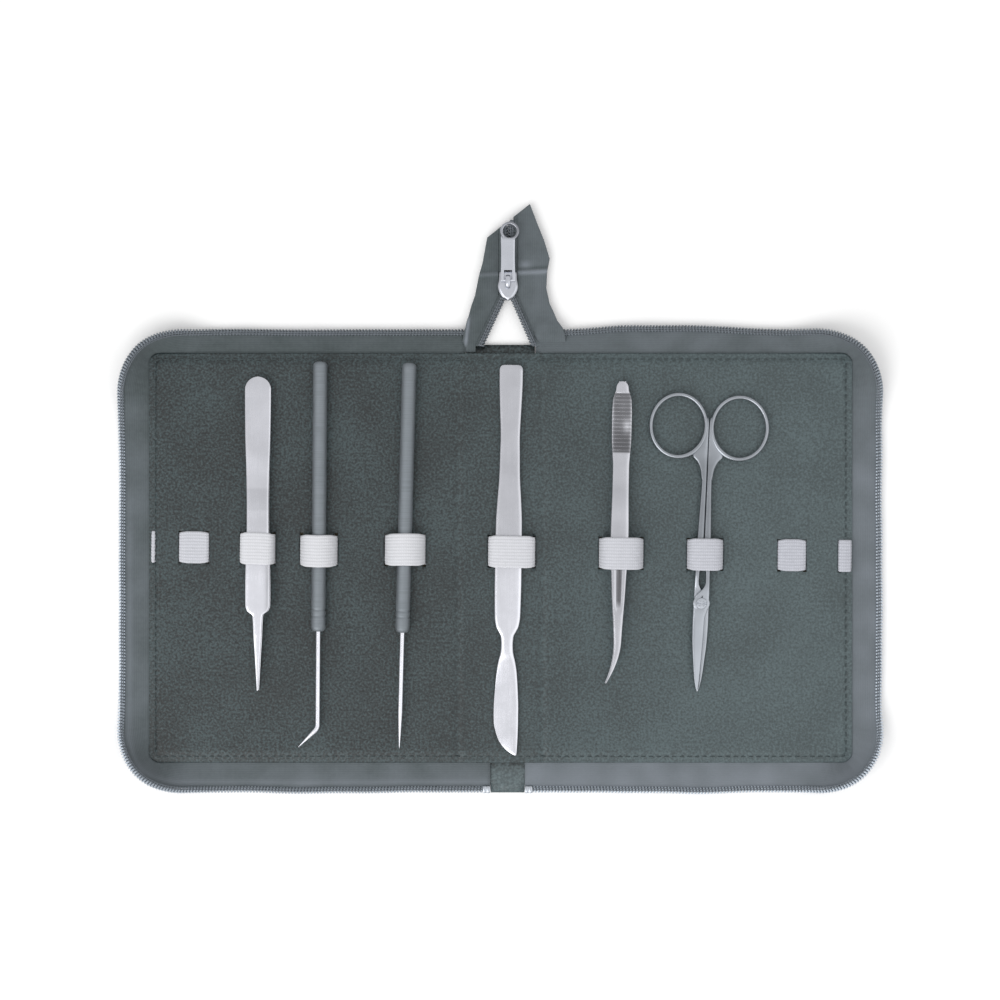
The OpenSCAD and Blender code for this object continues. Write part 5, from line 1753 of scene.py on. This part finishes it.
class CASE_OT_elastic(bpy.types.Operator):
    """Makes the woven elastic band with its loops"""
    bl_idname = "instrument_case.elastic"
    bl_label = "Elastic"

    def execute(self, context):
        for side in (-1, 0, 1):
            elastic(side)
        return {"FINISHED"}


class CASE_OT_zip(bpy.types.Operator):
    """Makes the zip's tapes, coils, tail and end stops"""
    bl_idname = "instrument_case.zip"
    bl_label = "Zip"

    def execute(self, context):
        for side in (-1, 1):
            rim_zip(side)
            tail_tape(side)
            tail_rows(side)
        end_stops()
        return {"FINISHED"}


class CASE_OT_slider(bpy.types.Operator):
    """Finishes the zip's slider and puller"""
    bl_idname = "instrument_case.slider"
    bl_label = "Slider"

    def execute(self, context):
        slider_parts()
        return {"FINISHED"}


class CASE_OT_forceps(bpy.types.Operator):
    """Makes the fine forceps and the curved forceps"""
    bl_idname = "instrument_case.forceps"
    bl_label = "Forceps"

    def execute(self, context):
        fine_forceps()
        curved_forceps()
        return {"FINISHED"}


class CASE_OT_needles(bpy.types.Operator):
    """Makes the two dissecting needles"""
    bl_idname = "instrument_case.needles"
    bl_label = "Needles"

    def execute(self, context):
        needles()
        return {"FINISHED"}


class CASE_OT_blades(bpy.types.Operator):
    """Makes the scalpel and the scissors"""
    bl_idname = "instrument_case.blades"
    bl_label = "Scalpel and scissors"

    def execute(self, context):
        scalpel()
        scissors()
        return {"FINISHED"}


OPERATORS = [CASE_OT_stage, CASE_OT_covers, CASE_OT_elastic, CASE_OT_zip, CASE_OT_slider,
             CASE_OT_forceps, CASE_OT_needles, CASE_OT_blades]


class CASE_PT_panel(bpy.types.Panel):
    """Lists the steps that build the case, with their sizes and colours"""
    bl_label = "Instrument case"
    bl_idname = "CASE_PT_panel"
    bl_space_type = "VIEW_3D"
    bl_region_type = "UI"
    bl_category = "Instrument case"

    def draw(self, context):
        for operator in OPERATORS:
            self.layout.operator(operator.bl_idname)
        for group in (context.scene.case_sizes, context.scene.case_colours):
            for name in group.__annotations__:
                self.layout.prop(group, name)


CLASSES = [CaseColours, CaseSizes, *OPERATORS, CASE_PT_panel]


def register():
    for made in CLASSES:
        bpy.utils.register_class(made)
    bpy.types.Scene.case_colours = bpy.props.PointerProperty(type=CaseColours)
    bpy.types.Scene.case_sizes = bpy.props.PointerProperty(type=CaseSizes)


def unregister():
    del bpy.types.Scene.case_sizes
    del bpy.types.Scene.case_colours
    for made in reversed(CLASSES):
        bpy.utils.unregister_class(made)


def main():
    register()
    bpy.context.scene.view_settings.view_transform = "Standard"
    for operator in OPERATORS:
        group, name = operator.bl_idname.split(".")
        getattr(getattr(bpy.ops, group), name)()


if __name__ == "__main__":
    main()
